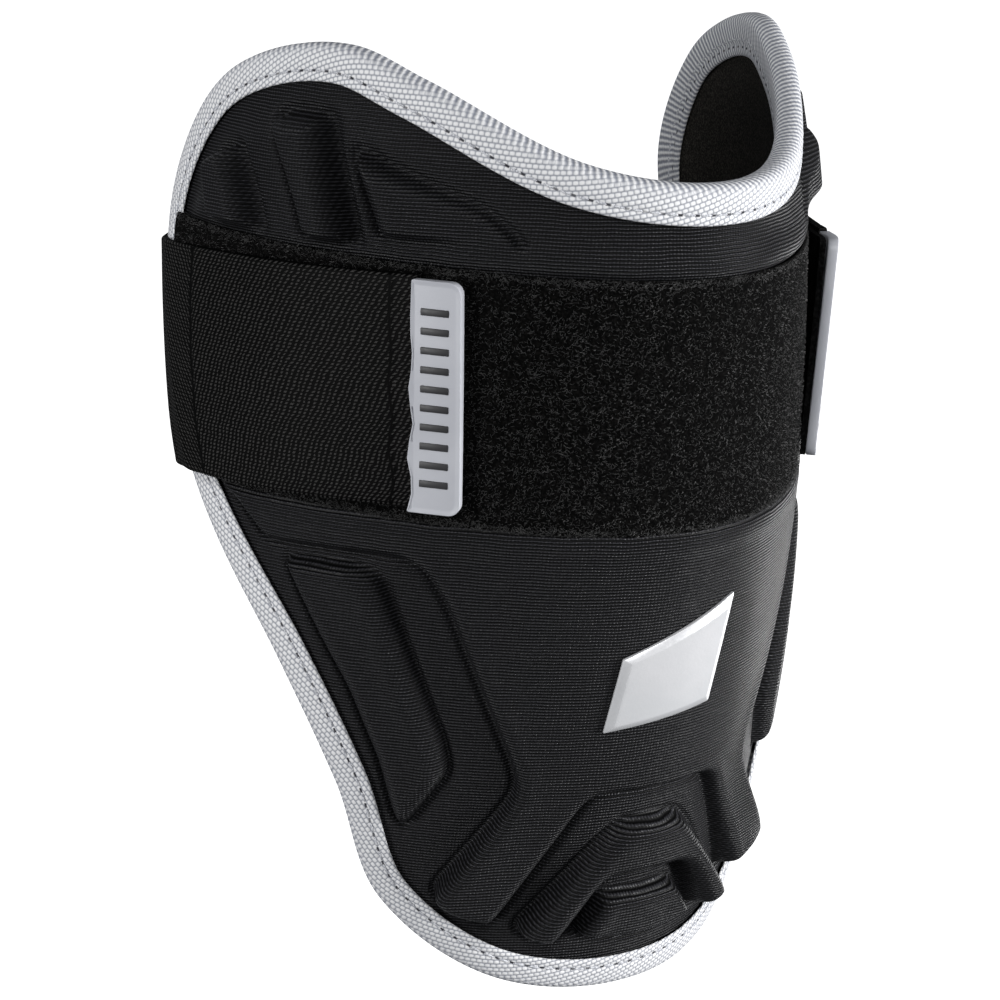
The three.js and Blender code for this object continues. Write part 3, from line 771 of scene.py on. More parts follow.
class NodeSheet:
    """A material's nodes, written down as sums on numbers and sockets."""

    def __init__(self, name: str) -> None:
        """Starts a material with its one shader.

        Args:
            name: the material's name.
        """
        self.material = bpy.data.materials.new(name)
        self.material.use_nodes = True
        self.tree = self.material.node_tree
        self.shader = self.tree.nodes["Principled BSDF"]

    def fed(self, socket: bpy.types.NodeSocket, value: Fed) -> None:
        """Sets a socket to a number or joins another socket to it.

        Args:
            socket: the socket to set.
            value: a number, a colour or another socket.
        """
        if isinstance(value, bpy.types.NodeSocket):
            self.tree.links.new(value, socket)
        else:
            socket.default_value = value

    def maths(self, operation: str, *values: Fed) -> bpy.types.NodeSocket:
        """One step of arithmetic on numbers or sockets.

        Args:
            operation: the name of the Math node's work.
            values: what it works on.

        Returns:
            The result.
        """
        node = self.tree.nodes.new("ShaderNodeMath")
        node.operation = operation
        for socket, value in zip(node.inputs, values):
            self.fed(socket, value)
        return node.outputs[0]

    def off(self, value: Fed, line: float) -> bpy.types.NodeSocket:
        """How far a length is from a line, either way."""
        return self.maths("ABSOLUTE", self.maths("SUBTRACT", value, line))

    def wave(self, value: Fed, pitch: float) -> bpy.types.NodeSocket:
        """A swing between 0 and 1 over each pitch of a length."""
        swing = self.maths("SINE", self.maths("MULTIPLY", value, 2 * math.pi / pitch))
        return self.maths("MULTIPLY_ADD", swing, 0.5, 0.5)

    def ramp(self, value: Fed, low: float, high: float) -> bpy.types.NodeSocket:
        """Runs from 0 at low to 1 at high with level ends.

        Args:
            value: what is read.
            low: where it starts.
            high: where it ends.

        Returns:
            The share.
        """
        node = self.tree.nodes.new("ShaderNodeMapRange")
        node.interpolation_type = "SMOOTHSTEP"
        self.fed(node.inputs["Value"], value)
        node.inputs["From Min"].default_value = low
        node.inputs["From Max"].default_value = high
        return node.outputs["Result"]

    def cloth(self) -> tuple[bpy.types.NodeSocket, bpy.types.NodeSocket, bpy.types.NodeSocket]:
        """The place on the flat cloth in millimetres, as a vector, its length and its width.

        Returns:
            The three sockets.
        """
        node = self.tree.nodes.new("ShaderNodeUVMap")
        node.uv_map = "cloth"
        parts = self.tree.nodes.new("ShaderNodeSeparateXYZ")
        self.tree.links.new(node.outputs[0], parts.inputs[0])
        return node.outputs[0], parts.outputs[0], parts.outputs[1]

    def place(self) -> bpy.types.NodeSocket:
        """The place on the object, in metres."""
        return self.tree.nodes.new("ShaderNodeTexCoord").outputs["Object"]

    def noise(self, vector: bpy.types.NodeSocket, scale: float, detail: float = 2.0) -> bpy.types.NodeSocket:
        """Soft random values about 0.5.

        Args:
            vector: the place.
            scale: how fine it is.
            detail: how many finer layers it has.

        Returns:
            The values.
        """
        node = self.tree.nodes.new("ShaderNodeTexNoise")
        self.fed(node.inputs["Vector"], vector)
        node.inputs["Scale"].default_value = scale
        node.inputs["Detail"].default_value = detail
        return node.outputs[0]

    def blended(self, share: Fed, first: Colour, second: Colour) -> bpy.types.NodeSocket:
        """A colour between two colours, each a tuple or a socket.

        Args:
            share: 0 for the first and 1 for the second.
            first: the first colour.
            second: the second colour.

        Returns:
            The colour.
        """
        node = self.tree.nodes.new("ShaderNodeMix")
        node.data_type = "RGBA"
        self.fed(node.inputs[0], share)
        for socket, colour in ((node.inputs[6], first), (node.inputs[7], second)):
            self.fed(socket, colour if isinstance(colour, bpy.types.NodeSocket) else (*colour, 1))
        return node.outputs[2]

    def bumped(self, height: bpy.types.NodeSocket, distance: float, strength: float = 1.0) -> None:
        """Gives the shader a bump whose full height is a distance in metres.

        Args:
            height: the bump, 0 to 1.
            distance: its full height.
            strength: how much of it counts.
        """
        node = self.tree.nodes.new("ShaderNodeBump")
        node.inputs["Strength"].default_value = strength
        node.inputs["Distance"].default_value = distance
        self.fed(node.inputs["Height"], height)
        self.tree.links.new(node.outputs[0], self.shader.inputs["Normal"])

    def set(self, **values: Fed) -> None:
        """Sets the shader's sockets by their names, with _ for a space.

        Args:
            values: a number, a colour or a socket for each name.
        """
        for name, value in values.items():
            self.fed(self.shader.inputs[name.replace("_", " ")], value)


@dataclass(frozen=True)
class KnitFinish:
    """Stretch knit bonded to the foam: fine level rows of shiny black thread."""

    rib_pitch: float = 0.72
    stitch_pitch: float = 0.78
    gap_colour: tuple[float, float, float] = (0.0003, 0.0003, 0.0004)
    thread_colour: tuple[float, float, float] = (0.037, 0.037, 0.042)
    roughness: float = 0.32
    gap_roughness: float = 0.52
    specular: float = 0.22

    def material(self) -> bpy.types.Material:
        """Makes the material.

        Returns:
            The finished material.
        """
        sheet = NodeSheet("cover_knit")
        vector, u, v = sheet.cloth()
        drift = sheet.maths("MULTIPLY", sheet.noise(vector, 0.09), 0.7)
        rows = sheet.wave(sheet.maths("ADD", v, drift), self.rib_pitch)
        columns = sheet.wave(u, self.stitch_pitch)
        thread = sheet.maths("MULTIPLY", rows, sheet.maths("MULTIPLY_ADD", columns, 0.35, 0.65))
        fleck = sheet.noise(vector, 2.3, 1.0)
        thread = sheet.maths("MULTIPLY", thread, sheet.maths("MULTIPLY_ADD", fleck, 1.2, 0.4))
        share = sheet.ramp(thread, 0.3, 1.0)
        rougher = self.roughness - self.gap_roughness
        sheet.set(
            Base_Color=sheet.blended(share, self.gap_colour, self.thread_colour),
            Roughness=sheet.maths("MULTIPLY_ADD", share, rougher, self.gap_roughness),
            Specular_IOR_Level=self.specular,
        )
        sheet.bumped(thread, 0.0003, 1.0)
        return sheet.material


@dataclass(frozen=True)
class TapeFinish:
    """Woven binding tape: light threads in slanting rows, with painted shade in the needle holes of the seam.
    """

    row_pitch: float = 1.05
    grain_pitch: float = 1.3
    stripe_pitch: float = 1.6
    slant: float = 20.0
    stitch_pitch: float = 3.7
    stitch_lines: tuple[float, float] = (2.7, 16.0)
    gap_colour: tuple[float, float, float] = (0.3, 0.315, 0.36)
    thread_colour: tuple[float, float, float] = (0.84, 0.84, 0.85)
    stripe_colour: tuple[float, float, float] = (0.2, 0.215, 0.26)
    # Painted shade: the near-black colour of the shade inside the needle holes.
    hole_shade_colour: tuple[float, float, float] = (0.03, 0.03, 0.04)
    roughness: float = 0.6

    def material(self) -> bpy.types.Material:
        """Makes the material.

        Returns:
            The finished material.
        """
        sheet = NodeSheet("binding_tape")
        vector, u, v = sheet.cloth()
        lean = math.radians(self.slant)
        cross = sheet.maths("MULTIPLY", v, math.cos(lean) / self.row_pitch)
        row = sheet.maths("MULTIPLY_ADD", u, -math.sin(lean) / self.row_pitch, cross)
        run = sheet.maths("MULTIPLY", v, math.sin(lean) / self.grain_pitch)
        run = sheet.maths("MULTIPLY_ADD", u, math.cos(lean) / self.grain_pitch, run)
        run = sheet.maths("MULTIPLY_ADD", sheet.maths("FLOOR", row), 0.5, run)
        rows = sheet.maths("ABSOLUTE", sheet.maths("SINE", sheet.maths("MULTIPLY", row, math.pi)))
        grains = sheet.maths("ABSOLUTE", sheet.maths("SINE", sheet.maths("MULTIPLY", run, math.pi)))
        weave = sheet.maths("MULTIPLY", sheet.maths("POWER", rows, 0.7), sheet.maths("POWER", grains, 0.5))
        worn = sheet.maths("MULTIPLY_ADD", sheet.noise(vector, 0.35, 3.0), 0.3, 0.85)
        stripes = sheet.wave(sheet.maths("MULTIPLY_ADD", v, 0.4, u), self.stripe_pitch)
        over_rim = sheet.ramp(v, 5.5, 9.5)
        dim = sheet.maths("MULTIPLY", sheet.maths("SUBTRACT", 1.0, stripes), over_rim)
        inner = sheet.maths("MULTIPLY", over_rim, 0.65)
        weave = sheet.maths("MULTIPLY", weave, sheet.maths("SUBTRACT", 1.0, inner))
        weave = sheet.maths("MULTIPLY_ADD", stripes, inner, weave)
        weave = sheet.maths("MULTIPLY", weave, worn)
        colour = sheet.blended(sheet.ramp(weave, 0.0, 0.9), self.gap_colour, self.thread_colour)
        colour = sheet.blended(sheet.maths("MULTIPLY", dim, 0.75), colour, self.stripe_colour)
        phase = sheet.maths("PINGPONG", sheet.maths("MULTIPLY", u, 1 / self.stitch_pitch), 0.5)
        near = sheet.ramp(phase, 0.2, 0.12)
        first, second = (sheet.off(v, line) for line in self.stitch_lines)
        nearest = sheet.maths("MINIMUM", first, second)
        hole = sheet.maths("MULTIPLY", near, sheet.ramp(nearest, 0.36, 0.12))
        hole = sheet.maths("MULTIPLY", hole, sheet.ramp(sheet.noise(vector, 0.12), 0.2, 0.48))
        # Painted shade: the needle holes are coloured near black for the shade inside them.
        colour = sheet.blended(hole, colour, self.hole_shade_colour)
        height = sheet.maths("SUBTRACT", weave, sheet.maths("MULTIPLY", hole, 1.5))
        sheet.set(Base_Color=colour, Roughness=self.roughness, Specular_IOR_Level=0.3)
        sheet.bumped(height, 0.0002, 0.7)
        return sheet.material


@dataclass(frozen=True)
class ElasticFinish:
    """Woven elastic: short slanting ticks of black thread in rows, with painted shade along the fold."""

    tick_pitch: float = 1.15
    row_pitch: float = 0.8
    fold_from: float = 64.9
    fold_lean: float = -0.089
    seam_from: float = 4.2
    gap_colour: tuple[float, float, float] = (0.0003, 0.0003, 0.0003)
    thread_colour: tuple[float, float, float] = (0.042, 0.041, 0.04)

    def material(self) -> bpy.types.Material:
        """Makes the material.

        Returns:
            The finished material.
        """
        sheet = NodeSheet("strap_elastic")
        vector, u, v = sheet.cloth()
        row = sheet.maths("MULTIPLY", v, 1 / self.row_pitch)
        within = sheet.maths("FRACT", row)
        fold = sheet.maths("SUBTRACT", u, sheet.maths("MULTIPLY_ADD", v, self.fold_lean, self.fold_from))
        past = sheet.ramp(fold, -0.2, 0.2)
        lean = sheet.maths("MULTIPLY", within, 0.5)
        slide = sheet.maths("MULTIPLY_ADD", sheet.maths("FLOOR", row), 0.35, lean)
        slide = sheet.maths("MULTIPLY", slide, sheet.maths("MULTIPLY_ADD", past, -2.0, 1.0))
        slide = sheet.maths("MULTIPLY_ADD", sheet.noise(vector, 0.5, 2.0), 1.1, slide)
        tick = sheet.maths("MULTIPLY_ADD", u, 1 / self.tick_pitch, slide)
        across = sheet.maths("SINE", sheet.maths("MULTIPLY", tick, 2 * math.pi))
        down = sheet.maths("SINE", sheet.maths("MULTIPLY", within, math.pi))
        thread = sheet.maths("MULTIPLY", sheet.ramp(across, -0.4, 0.7), sheet.ramp(down, 0.2, 0.85))
        fleck = sheet.maths("MULTIPLY_ADD", sheet.noise(vector, 1.6, 2.0), 1.2, 0.4)
        thread = sheet.maths("MULTIPLY", thread, fleck)
        # Painted shade: the thread is darkened to black along the fold line, standing in for the shade in the
        # fold's groove.
        line = sheet.ramp(sheet.maths("ABSOLUTE", fold), 0.25, 0.7)
        seam = sheet.ramp(sheet.off(u, self.seam_from), 0.1, 0.45)
        thread = sheet.maths("MULTIPLY", thread, sheet.maths("MULTIPLY", line, seam))
        colour = sheet.blended(thread, self.gap_colour, self.thread_colour)
        sheet.set(Base_Color=colour, Roughness=0.6, Specular_IOR_Level=0.05)
        sheet.bumped(thread, 0.0003, 0.8)
        return sheet.material


@dataclass(frozen=True)
class NapFinish:
    """Short soft nap: near-black, mottled at a fine scale."""

    name: str
    colour: tuple[float, float, float] = (0.011, 0.0105, 0.0095)
    light: tuple[float, float, float] = (0.05, 0.046, 0.04)
    scale: float = 2200.0

    def material(self) -> bpy.types.Material:
        """Makes the material.

        Returns:
            The finished material.
        """
        sheet = NodeSheet(self.name)
        fuzz = sheet.noise(sheet.place(), self.scale, 3.0)
        sheet.set(
            Base_Color=sheet.blended(sheet.ramp(fuzz, 0.4, 0.7), self.colour, self.light),
            Roughness=0.9,
            Specular_IOR_Level=0.06,
        )
        sheet.bumped(fuzz, 0.0003, 0.8)
        return sheet.material


@dataclass(frozen=True)
class SatinFinish:
    """A smooth satin surface, moulded or cast, with a faint grain and rubbed spots."""

    name: str
    colour: tuple[float, float, float]
    shade: tuple[float, float, float]
    roughness: float = 0.42
    metallic: float = 0.0
    grain: float = 1500.0

    def material(self) -> bpy.types.Material:
        """Makes the material.

        Returns:
            The finished material.
        """
        sheet = NodeSheet(self.name)
        place = sheet.place()
        cloud = sheet.noise(place, 60.0, 3.0)
        grain = sheet.noise(place, self.grain, 2.0)
        sheet.set(
            Base_Color=sheet.blended(sheet.ramp(cloud, 0.35, 0.7), self.shade, self.colour),
            Roughness=sheet.maths("MULTIPLY_ADD", grain, 0.2, self.roughness - 0.1),
            Metallic=self.metallic,
        )
        sheet.bumped(grain, 0.00004, 0.5)
        return sheet.material


@dataclass(frozen=True)
class ThreadFinish:
    """Twisted sewing thread."""

    name: str
    light: tuple[float, float, float]
    dark: tuple[float, float, float]
    scale: float = 2500.0

    def material(self) -> bpy.types.Material:
        """Makes the material.

        Returns:
            The finished material.
        """
        sheet = NodeSheet(self.name)
        twist = sheet.noise(sheet.place(), self.scale, 1.0)
        colour = sheet.blended(sheet.ramp(twist, 0.35, 0.65), self.dark, self.light)
        sheet.set(Base_Color=colour, Roughness=0.55)
        sheet.bumped(twist, 0.0001, 0.6)
        return sheet.material


@dataclass
class Guard:
    """What every sub-assembly is laid over: the plate, its edge and its relief."""

    plate: PlateForm = field(default_factory=PlateForm)
    edge: GuardEdge = field(init=False)
    relief: Relief = field(init=False)

    def __post_init__(self) -> None:
        """Builds the edge and the relief on the plate."""
        self.edge = GuardEdge(self.plate)
        self.relief = Relief(self.plate, self.edge)

    def laid(self, along: np.ndarray, up: np.ndarray, proud: np.ndarray) -> np.ndarray:
        """Points in metres for lengths round the plate, heights and heights proud."""
        turn = self.plate.turn_after(along, up)
        return self.plate.placed(self.plate.skin(turn, up, proud))


def dressed(obj: bpy.types.Object, material: bpy.types.Material, slot: str, *nodes: str) -> None:
    """Gives a finished piece its material and its body, and hides the CAD nodes it stands for.

    Args:
        obj: the piece.
        material: its finish.
        slot: not used.
        nodes: CAD nodes that it replaces.
    """
    obj.data.materials.clear()
    obj.data.materials.append(material)
    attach(obj, "root")
    if nodes:
        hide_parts(*nodes)
    LOG.info("%s: %d faces", obj.name, len(obj.data.polygons))


@dataclass
class Cover:
    """The moulded foam with its knit cover, and the napped lining inside it."""

    guard: Guard
    columns: int = 480
    rows: int = 340
    border: float = 5.0
    foam_inside: float = -4.7
    lining_outside: float = -5.0
    lining_thick: float = 1.0
    lining_border: float = 3.0
    lining_cells: tuple[int, int] = (96, 72)

    def build(self) -> None:
        """Models the cover and the lining."""
        self.cover()
        self.lining()

    def cover(self) -> bpy.types.Object:
        """The knit-covered foam, a closed pad with its relief on the outside.

        Returns:
            The piece.
        """
        plate = self.guard.plate
        turn, up = self.guard.edge.patch(self.columns, self.rows, self.border)
        proud = self.guard.relief.proud(turn, up)
        cloth = np.stack([plate.along(turn, up, steps=12), up], axis=-1)
        outer = Bench.net("cover", plate.placed(plate.skin(turn, up, proud)), cloth)
        turn, up = self.guard.edge.patch(self.columns // 6, self.rows // 6, self.border)
        cloth = np.stack([plate.along(turn, up, steps=12), up], axis=-1)
        inner = Bench.net("cover_inside", plate.placed(plate.skin(turn, up, self.foam_inside)), cloth)
        Bench.clear()
        inner.select_set(True)
        outer.select_set(True)
        bpy.context.view_layer.objects.active = outer
        bpy.ops.object.join()
        bpy.ops.object.mode_set(mode="EDIT")
        bpy.ops.mesh.select_mode(type="EDGE")
        bpy.ops.mesh.select_all(action="DESELECT")
        bpy.ops.mesh.select_non_manifold()
        bpy.ops.mesh.bridge_edge_loops()
        Bench.closed(outer)
        Bench.smoothed(outer, 75)
        dressed(outer, KnitFinish().material(), "cover_knit", "shell")
        return outer

    def lining(self) -> bpy.types.Object:
        """The cloth next to the arm.

        Returns:
            The piece.
        """
        plate = self.guard.plate
        turn, up = self.guard.edge.patch(*self.lining_cells, self.lining_border)
        cloth = np.stack([plate.along(turn, up, steps=12), up], axis=-1)
        points = plate.placed(plate.skin(turn, up, self.lining_outside))
        obj = Bench.net("lining_cloth", points, cloth)
        Bench.thickened(obj, self.lining_thick / 1000, -1.0)
        Bench.smoothed(obj, 60)
        dressed(obj, NapFinish("lining_nap").material(), "lining_nap", "lining")
        return obj


@dataclass
class Binding:
    """Tape folded over the guard's edge, with its seam."""

    guard: Guard
    stations: int = 700
    width: float = 8.3
    face: float = -1.2
    back: float = -7.1
    rim: float = 2.4
    thick: float = 0.7
    stitch_pitch: float = 3.7
    stitch_length: float = 2.5
    stitch_line: float = 2.3
    seam_at: float = 0.76
    pinch: float = 1.4
    inner_extra: float = 1.5
    crown: float = 0.15

    def section(self) -> np.ndarray:
        """Closed section of the tape as rows of distance inside the edge and height proud.

        Returns:
            The rows.
        """
        middle = (self.face + self.back) / 2
        half = (self.face - self.back) / 2
        leg = [(self.width, -0.55), (self.width, -0.25), (self.width - 0.3, 0.0)]
        leg += [(t, 0.0) for t in np.linspace(self.width - 0.9, self.rim + 0.6, 10)]
        outer = []
        for inside, low in leg:
            groove = 0.3 * math.exp(-(((self.width - inside) - self.stitch_line) / 0.55) ** 2)
            share = min(1.0, (self.width - inside) / (self.width - self.rim))
            crown = self.crown * math.sin(math.pi * share)
            outer.append((inside, half + low - groove + crown))
        bend = []
        for angle in np.linspace(0, 180, 11):
            a = math.radians(angle)
            reach = abs(math.sin(a)) ** 0.9
            height = half * math.copysign(abs(math.cos(a)) ** 0.8, math.cos(a))
            bend.append((self.rim * (1 - reach), height))
        around = outer + bend + [
            (inside + self.inner_extra * (inside - self.rim) / (self.width - self.rim), -height)
            for inside, height in reversed(outer)]
        wall = half - self.thick
        hidden = [(self.width - 0.2, -wall), (self.rim, -wall), (self.rim * 0.6, 0.0)]
        hidden += [(self.rim, wall), (self.width - 0.2, wall)]
        return np.array([(inside, height + middle) for inside, height in around + hidden])

    def build(self) -> None:
        """Models the tape and its stitches."""
        section = self.section()
        loop = np.concatenate([section, section[:1]])
        share, lengths = self.guard.edge.length(4.0)
        stations = np.linspace(self.seam_at, self.seam_at + 1, self.stations + 1)
        whole_pitches = int(lengths[-1] / self.stitch_pitch)
        run = np.interp(np.mod(stations, 1.0), share, lengths) + lengths[-1] * np.floor(stations)
        reach = (run - run[0]) / lengths[-1] * whole_pitches * self.stitch_pitch
        across = np.concatenate([[0.0], np.cumsum(np.linalg.norm(np.diff(loop, axis=0), axis=1))])
        grid_share, inside = np.meshgrid(stations, loop[:, 0], indexing="ij")
        proud = np.broadcast_to(loop[:, 1], grid_share.shape).copy()
        pucker = 0.12 * np.cos(2 * math.pi * reach / self.stitch_pitch)[:, None]
        seam = np.exp(-((self.width - inside - self.stitch_line) / 1.3) ** 2)
        outward = np.where(np.arange(len(loop)) < len(section) / 2, 1.0, -1.0)[None, :]
        proud += pucker * seam * outward
        turn, up = self.guard.edge.inset(grid_share, inside)
        from_band = (up - self.guard.plate.band_middle) / 17
        proud -= self.pinch * np.exp(-from_band ** 4) * smooth(np.abs(turn), 1.2, 1.45)
        points = self.guard.plate.placed(self.guard.plate.skin(turn, up, proud))
        cloth = np.stack(np.broadcast_arrays(reach[:, None], across[None, :]), axis=-1)
        obj = Bench.net("binding", points, cloth)
        Bench.closed(obj)
        Bench.smoothed(obj, 70)
        seams = (self.stitch_line + 0.4, across[len(section) - 6] - self.stitch_line - 0.2)
        dressed(obj, TapeFinish(stitch_lines=seams).material(), "binding_tape", "edge_binding")
        self.stitches(lengths[-1], share, lengths)

    def stitches(self, whole: float, share: np.ndarray, lengths: np.ndarray) -> None:
        """Models the thread of the seam on both faces.

        Args:
            whole: the seam's whole length.
            share: shares of the edge.
            lengths: seam length up to each share.
        """
        count = int(whole / self.stitch_pitch)
        middle = (np.arange(count) + 0.5) / count * whole
        inside = np.full(count, self.width - self.stitch_line)
        edge, plate = self.guard.edge, self.guard.plate
        frames, origins = [], []
        for proud, sign in ((self.face - 0.02, 1.0), (self.back + 0.02, -1.0)):
            here = np.interp(middle, lengths, share)
            there = np.interp(middle + 0.5, lengths, share)
            turn, up = edge.inset(here, inside)
            point = plate.placed(plate.skin(turn, up, proud))
            ahead = plate.placed(plate.skin(*edge.inset(there, inside), proud))
            run = ahead - point
            run /= np.linalg.norm(run, axis=1, keepdims=True)
            out = plate.outward(turn, up) * sign
            side = np.cross(out, run)
            frames.append(np.stack([run, side, out], axis=-1))
            origins.append(point)
        Bench.clear()
        bpy.ops.mesh.primitive_uv_sphere_add(segments=8, ring_count=6, radius=1, location=(0, 0, 0))
        thread = bpy.context.object
        size = np.array([self.stitch_length / 2000, 0.00026, 0.0002])
        Bench.reshaped(thread, lambda p: np.sign(p) * np.abs(p) ** 0.8 * size)
        obj = Bench.strewn("binding_stitches", thread, np.concatenate(frames), np.concatenate(origins))
        Bench.smoothed(obj, 60)
        thread_finish = ThreadFinish("binding_thread", (0.7, 0.71, 0.74), (0.35, 0.36, 0.4))
        dressed(obj, thread_finish.material(), "binding_tape")


@dataclass
class Band:
    """The loop field, the hook pads, the elastic strap and its two pull tabs."""

    guard: Guard
    strap_width: float = 49.5
    strap_thick: float = 1.9
    strap_round: float = 0.85
    tab_width: float = 11.3
    tab_thick: float = 2.4
    tab_corner: float = 2.5
    tab_turns: tuple[float, float] = (41.7, 44.3)
    tab_climb: float = 0.0065 * 214.5
    strap_climb: float = 0.011 * 214.5
    peel: float = 3.2
    hook_length: float = 45.0
    loop_face: float = 0.2
    loop_back: float = -1.0
    hook_back: float = 0.5
    hook_thick: float = 1.25
    on_hook: float = 1.8
    on_loop: float = 0.5
    on_tape: float = -0.9
    back_reach: float = 0.46 * 97.0
    back_droop: float = 0.03 * 214.5
    back_corner: float = 0.64
    fold_from: float = 54.4
    fold_lean: float = 4.4
    end_seam: float = 3.2
    tab_rim: float = 0.9
    tab_rim_slope: float = 0.4
    tab_rim_depth: float = 0.35
    grip_count: int = 10
    grip_first: float = 6.5
    grip_pitch: float = 4.05
    grip_size: tuple[float, float, float] = (6.2, 1.5, 0.55)

    @property
    def low(self) -> float:
        """Height of the strap's lower edge."""
        return self.guard.plate.band_middle - self.strap_width / 2

    def tab_along(self, up: np.ndarray) -> np.ndarray:
        """Length from the front to a tab's middle line.

        Args:
            up: heights of the places.

        Returns:
            The lengths.
        """
        share = (up - self.low) / self.strap_width
        turn = np.radians(self.tab_turns[0] + (self.tab_turns[1] - self.tab_turns[0]) * share)
        return self.guard.plate.along(turn, up)

    def lift(self, side: Side, along: np.ndarray, up: np.ndarray) -> np.ndarray:
        """How far the right tab's upper end, with what it holds, stands off the band.

        Args:
            side: which tab.
            along: lengths from the front.
            up: heights of the places.

        Returns:
            Millimetres.
        """
        if side is Side.LEFT:
            return 0.0 * along
        share = np.clip((up - self.low) / self.strap_width, 0, 1.1)
        return self.peel * share ** 1.4 * np.exp(-np.maximum(along - self.tab_along(up), 0) / 9)

    def build(self) -> None:
        """Models every layer, from the plate outwards."""
        self.loop_field()
        for side in Side:
            self.hook_pad(side)
        self.strap()
        for side in Side:
            self.tab(side)

    def loop_field(self) -> None:
        """The field of loop pile in its seat, with its fibres."""
        relief, plate = self.guard.relief, self.guard.plate
        columns, rows = 220, 40
        share = np.linspace(-1, 1, columns + 1)[None, :]
        guess = share * math.pi / 2
        low = relief.loop_bottom(guess)
        rise = np.linspace(0, 1, rows + 1)[:, None]
        up = low + rise * relief.loop_width
        end = plate.along(self.guard.edge.free_turn(up), up) - relief.tape_width - 0.6
        along = share * end
        rounded = np.minimum(rise, 1 - rise) * relief.loop_width
        fall = 0.5 * np.exp(-rounded / 0.8)
        points = self.guard.laid(along, up, self.loop_face - fall)
        cloth = np.stack(np.broadcast_arrays(along, up), axis=-1)
        obj = Bench.net("loop_backing", points, cloth)
        Bench.thickened(obj, 0.0011, -1.0)
        Bench.smoothed(obj, 60)
        pile = NapFinish("loop_pile", (0.0002, 0.0002, 0.0002), (0.004, 0.0038, 0.0036), 1600.0)
        dressed(obj, pile.material(), "loop_pile", "loop_field")
        self.fibres()

    def fibres(self, count: int = 42000) -> None:
        """Short bent fibres that stand out of the loop pile and fray its borders.

        Args:
            count: how many fibres.
        """
        relief, plate = self.guard.relief, self.guard.plate
        random = np.random.default_rng(4)
        rise = random.random(count)
        edge_part = random.random(count) < 0.12
        rise = np.where(edge_part, np.where(rise < 0.5, rise * 0.05, 1 - (1 - rise) * 0.05), rise)
        share = random.uniform(-1, 1, count)
        low = relief.loop_bottom(share * math.pi / 2)
        up = low + rise * relief.loop_width
        along = share * (plate.along(self.guard.edge.free_turn(up), up) - relief.tape_width - 1.2)
        heading = random.uniform(0, 2 * math.pi, count)
        length = random.uniform(0.4, 1.1, count)
        lift = random.uniform(0.1, 0.55, count)
        curl = random.uniform(-1.2, 1.2, count)
        width = random.uniform(0.04, 0.075, count)
        left, right = [], []
        for step in range(3):
            part = step / 2
            angle = heading + curl * part
            reach = length * part
            x = along + np.cos(angle) * reach
            y = up + np.sin(angle) * reach * 0.8
            z = self.loop_face - 0.1 + lift * math.sin(math.pi * (0.15 + 0.7 * part))
            across = width * (1.0 - 0.6 * part)
            left.append(self.guard.laid(x - np.sin(angle) * across, y + np.cos(angle) * across, z))
            right.append(self.guard.laid(x + np.sin(angle) * across, y - np.cos(angle) * across, z))
        points = np.stack([*left, *right], axis=1)
        faces = []
        for fibre in range(count):
            first = fibre * 6
            faces += [(first + k, first + 3 + k, first + 4 + k, first + 1 + k) for k in range(2)]
        obj = Bench.added("loop_fibres", points.reshape(-1, 3), faces)
        strand = ThreadFinish("loop_strands", (0.017, 0.0165, 0.016), (0.001, 0.001, 0.001), 500.0)
        dressed(obj, strand.material(), "loop_pile")

    def hook_pad(self, side: Side) -> None:
        """A pad of hook tape under the strap's end and its tab.

        Args:
            side: which end.
        """
        up = np.linspace(self.low + 0.3, self.low + self.strap_width - 0.3, 13)[:, None]
        start = self.tab_along(up) - self.tab_width / 2 + 1.0
        along = start + np.linspace(0, self.hook_length, 31)[None, :]
        proud = self.hook_back + self.hook_thick + 0.85 * self.lift(side, along, up)
        along = side.value * along
        points = self.guard.laid(along, up + self.tab_climb, proud)
        cloth = np.stack(np.broadcast_arrays(along, up), axis=-1)
        name = f"hook_tape_{side.name.lower()}"
        obj = Bench.net(name, points, cloth)
        Bench.thickened(obj, self.hook_thick / 1000, -1.0 if side is Side.RIGHT else 1.0)
        Bench.closed(obj)
        Bench.smoothed(obj, 50)
        hooks = NapFinish(name, (0.002, 0.002, 0.002), (0.012, 0.012, 0.012), 1500.0)
        dressed(obj, hooks.material(), "hook_tape", f"hook_pad_{side.name.lower()}")

    def wing(self, side: Side, share: np.ndarray, up: np.ndarray) -> np.ndarray:
        """Inner face of the strap on one wing, from the tab to the free edge.

        Args:
            side: which wing.
            share: how far along it, 0 to 1.
            up: heights of the places.

        Returns:
            The points in millimetres.
        """
        plate = self.guard.plate
        middle = self.tab_along(up)
        start = middle + self.tab_width / 2 - 0.2 - self.ragged(up)
        edge = plate.along(self.guard.edge.free_turn(up), up)
        along = start + (edge + 1.0 - start) * share
        hook_end = middle - self.tab_width / 2 + 1.0 + self.hook_length
        off_hook = smooth(along - hook_end, -6, 18)
        off_loop = smooth(edge - along, 0.0, 8.3 - self.strap_thick)
        over = self.on_hook + (self.on_loop - self.on_hook) * off_hook
        proud = self.on_tape + (over - self.on_tape) * off_loop + self.lift(side, along, up)
        level = (up - self.low) / self.strap_width
        pull = share ** 3 * (1.3 * level + 1.1 * np.sin(math.pi * np.clip(level, 0, 1)) ** 0.7)
        turn = plate.turn_after(side.value * along, up)
        climb = self.strap_climb * (1 - share) - 1.2 * share ** 3 * level
        return plate.skin(turn, up + climb, proud - pull)

    @staticmethod
    def ragged(up: np.ndarray) -> np.ndarray:
        """How far the strap's raw end reaches over a tab's rear edge at each height."""
        return 0.3 + 0.35 * np.sin(0.42 * up) + 0.22 * np.sin(1.15 * up + 1) + 0.12 * np.sin(2.9 * up)

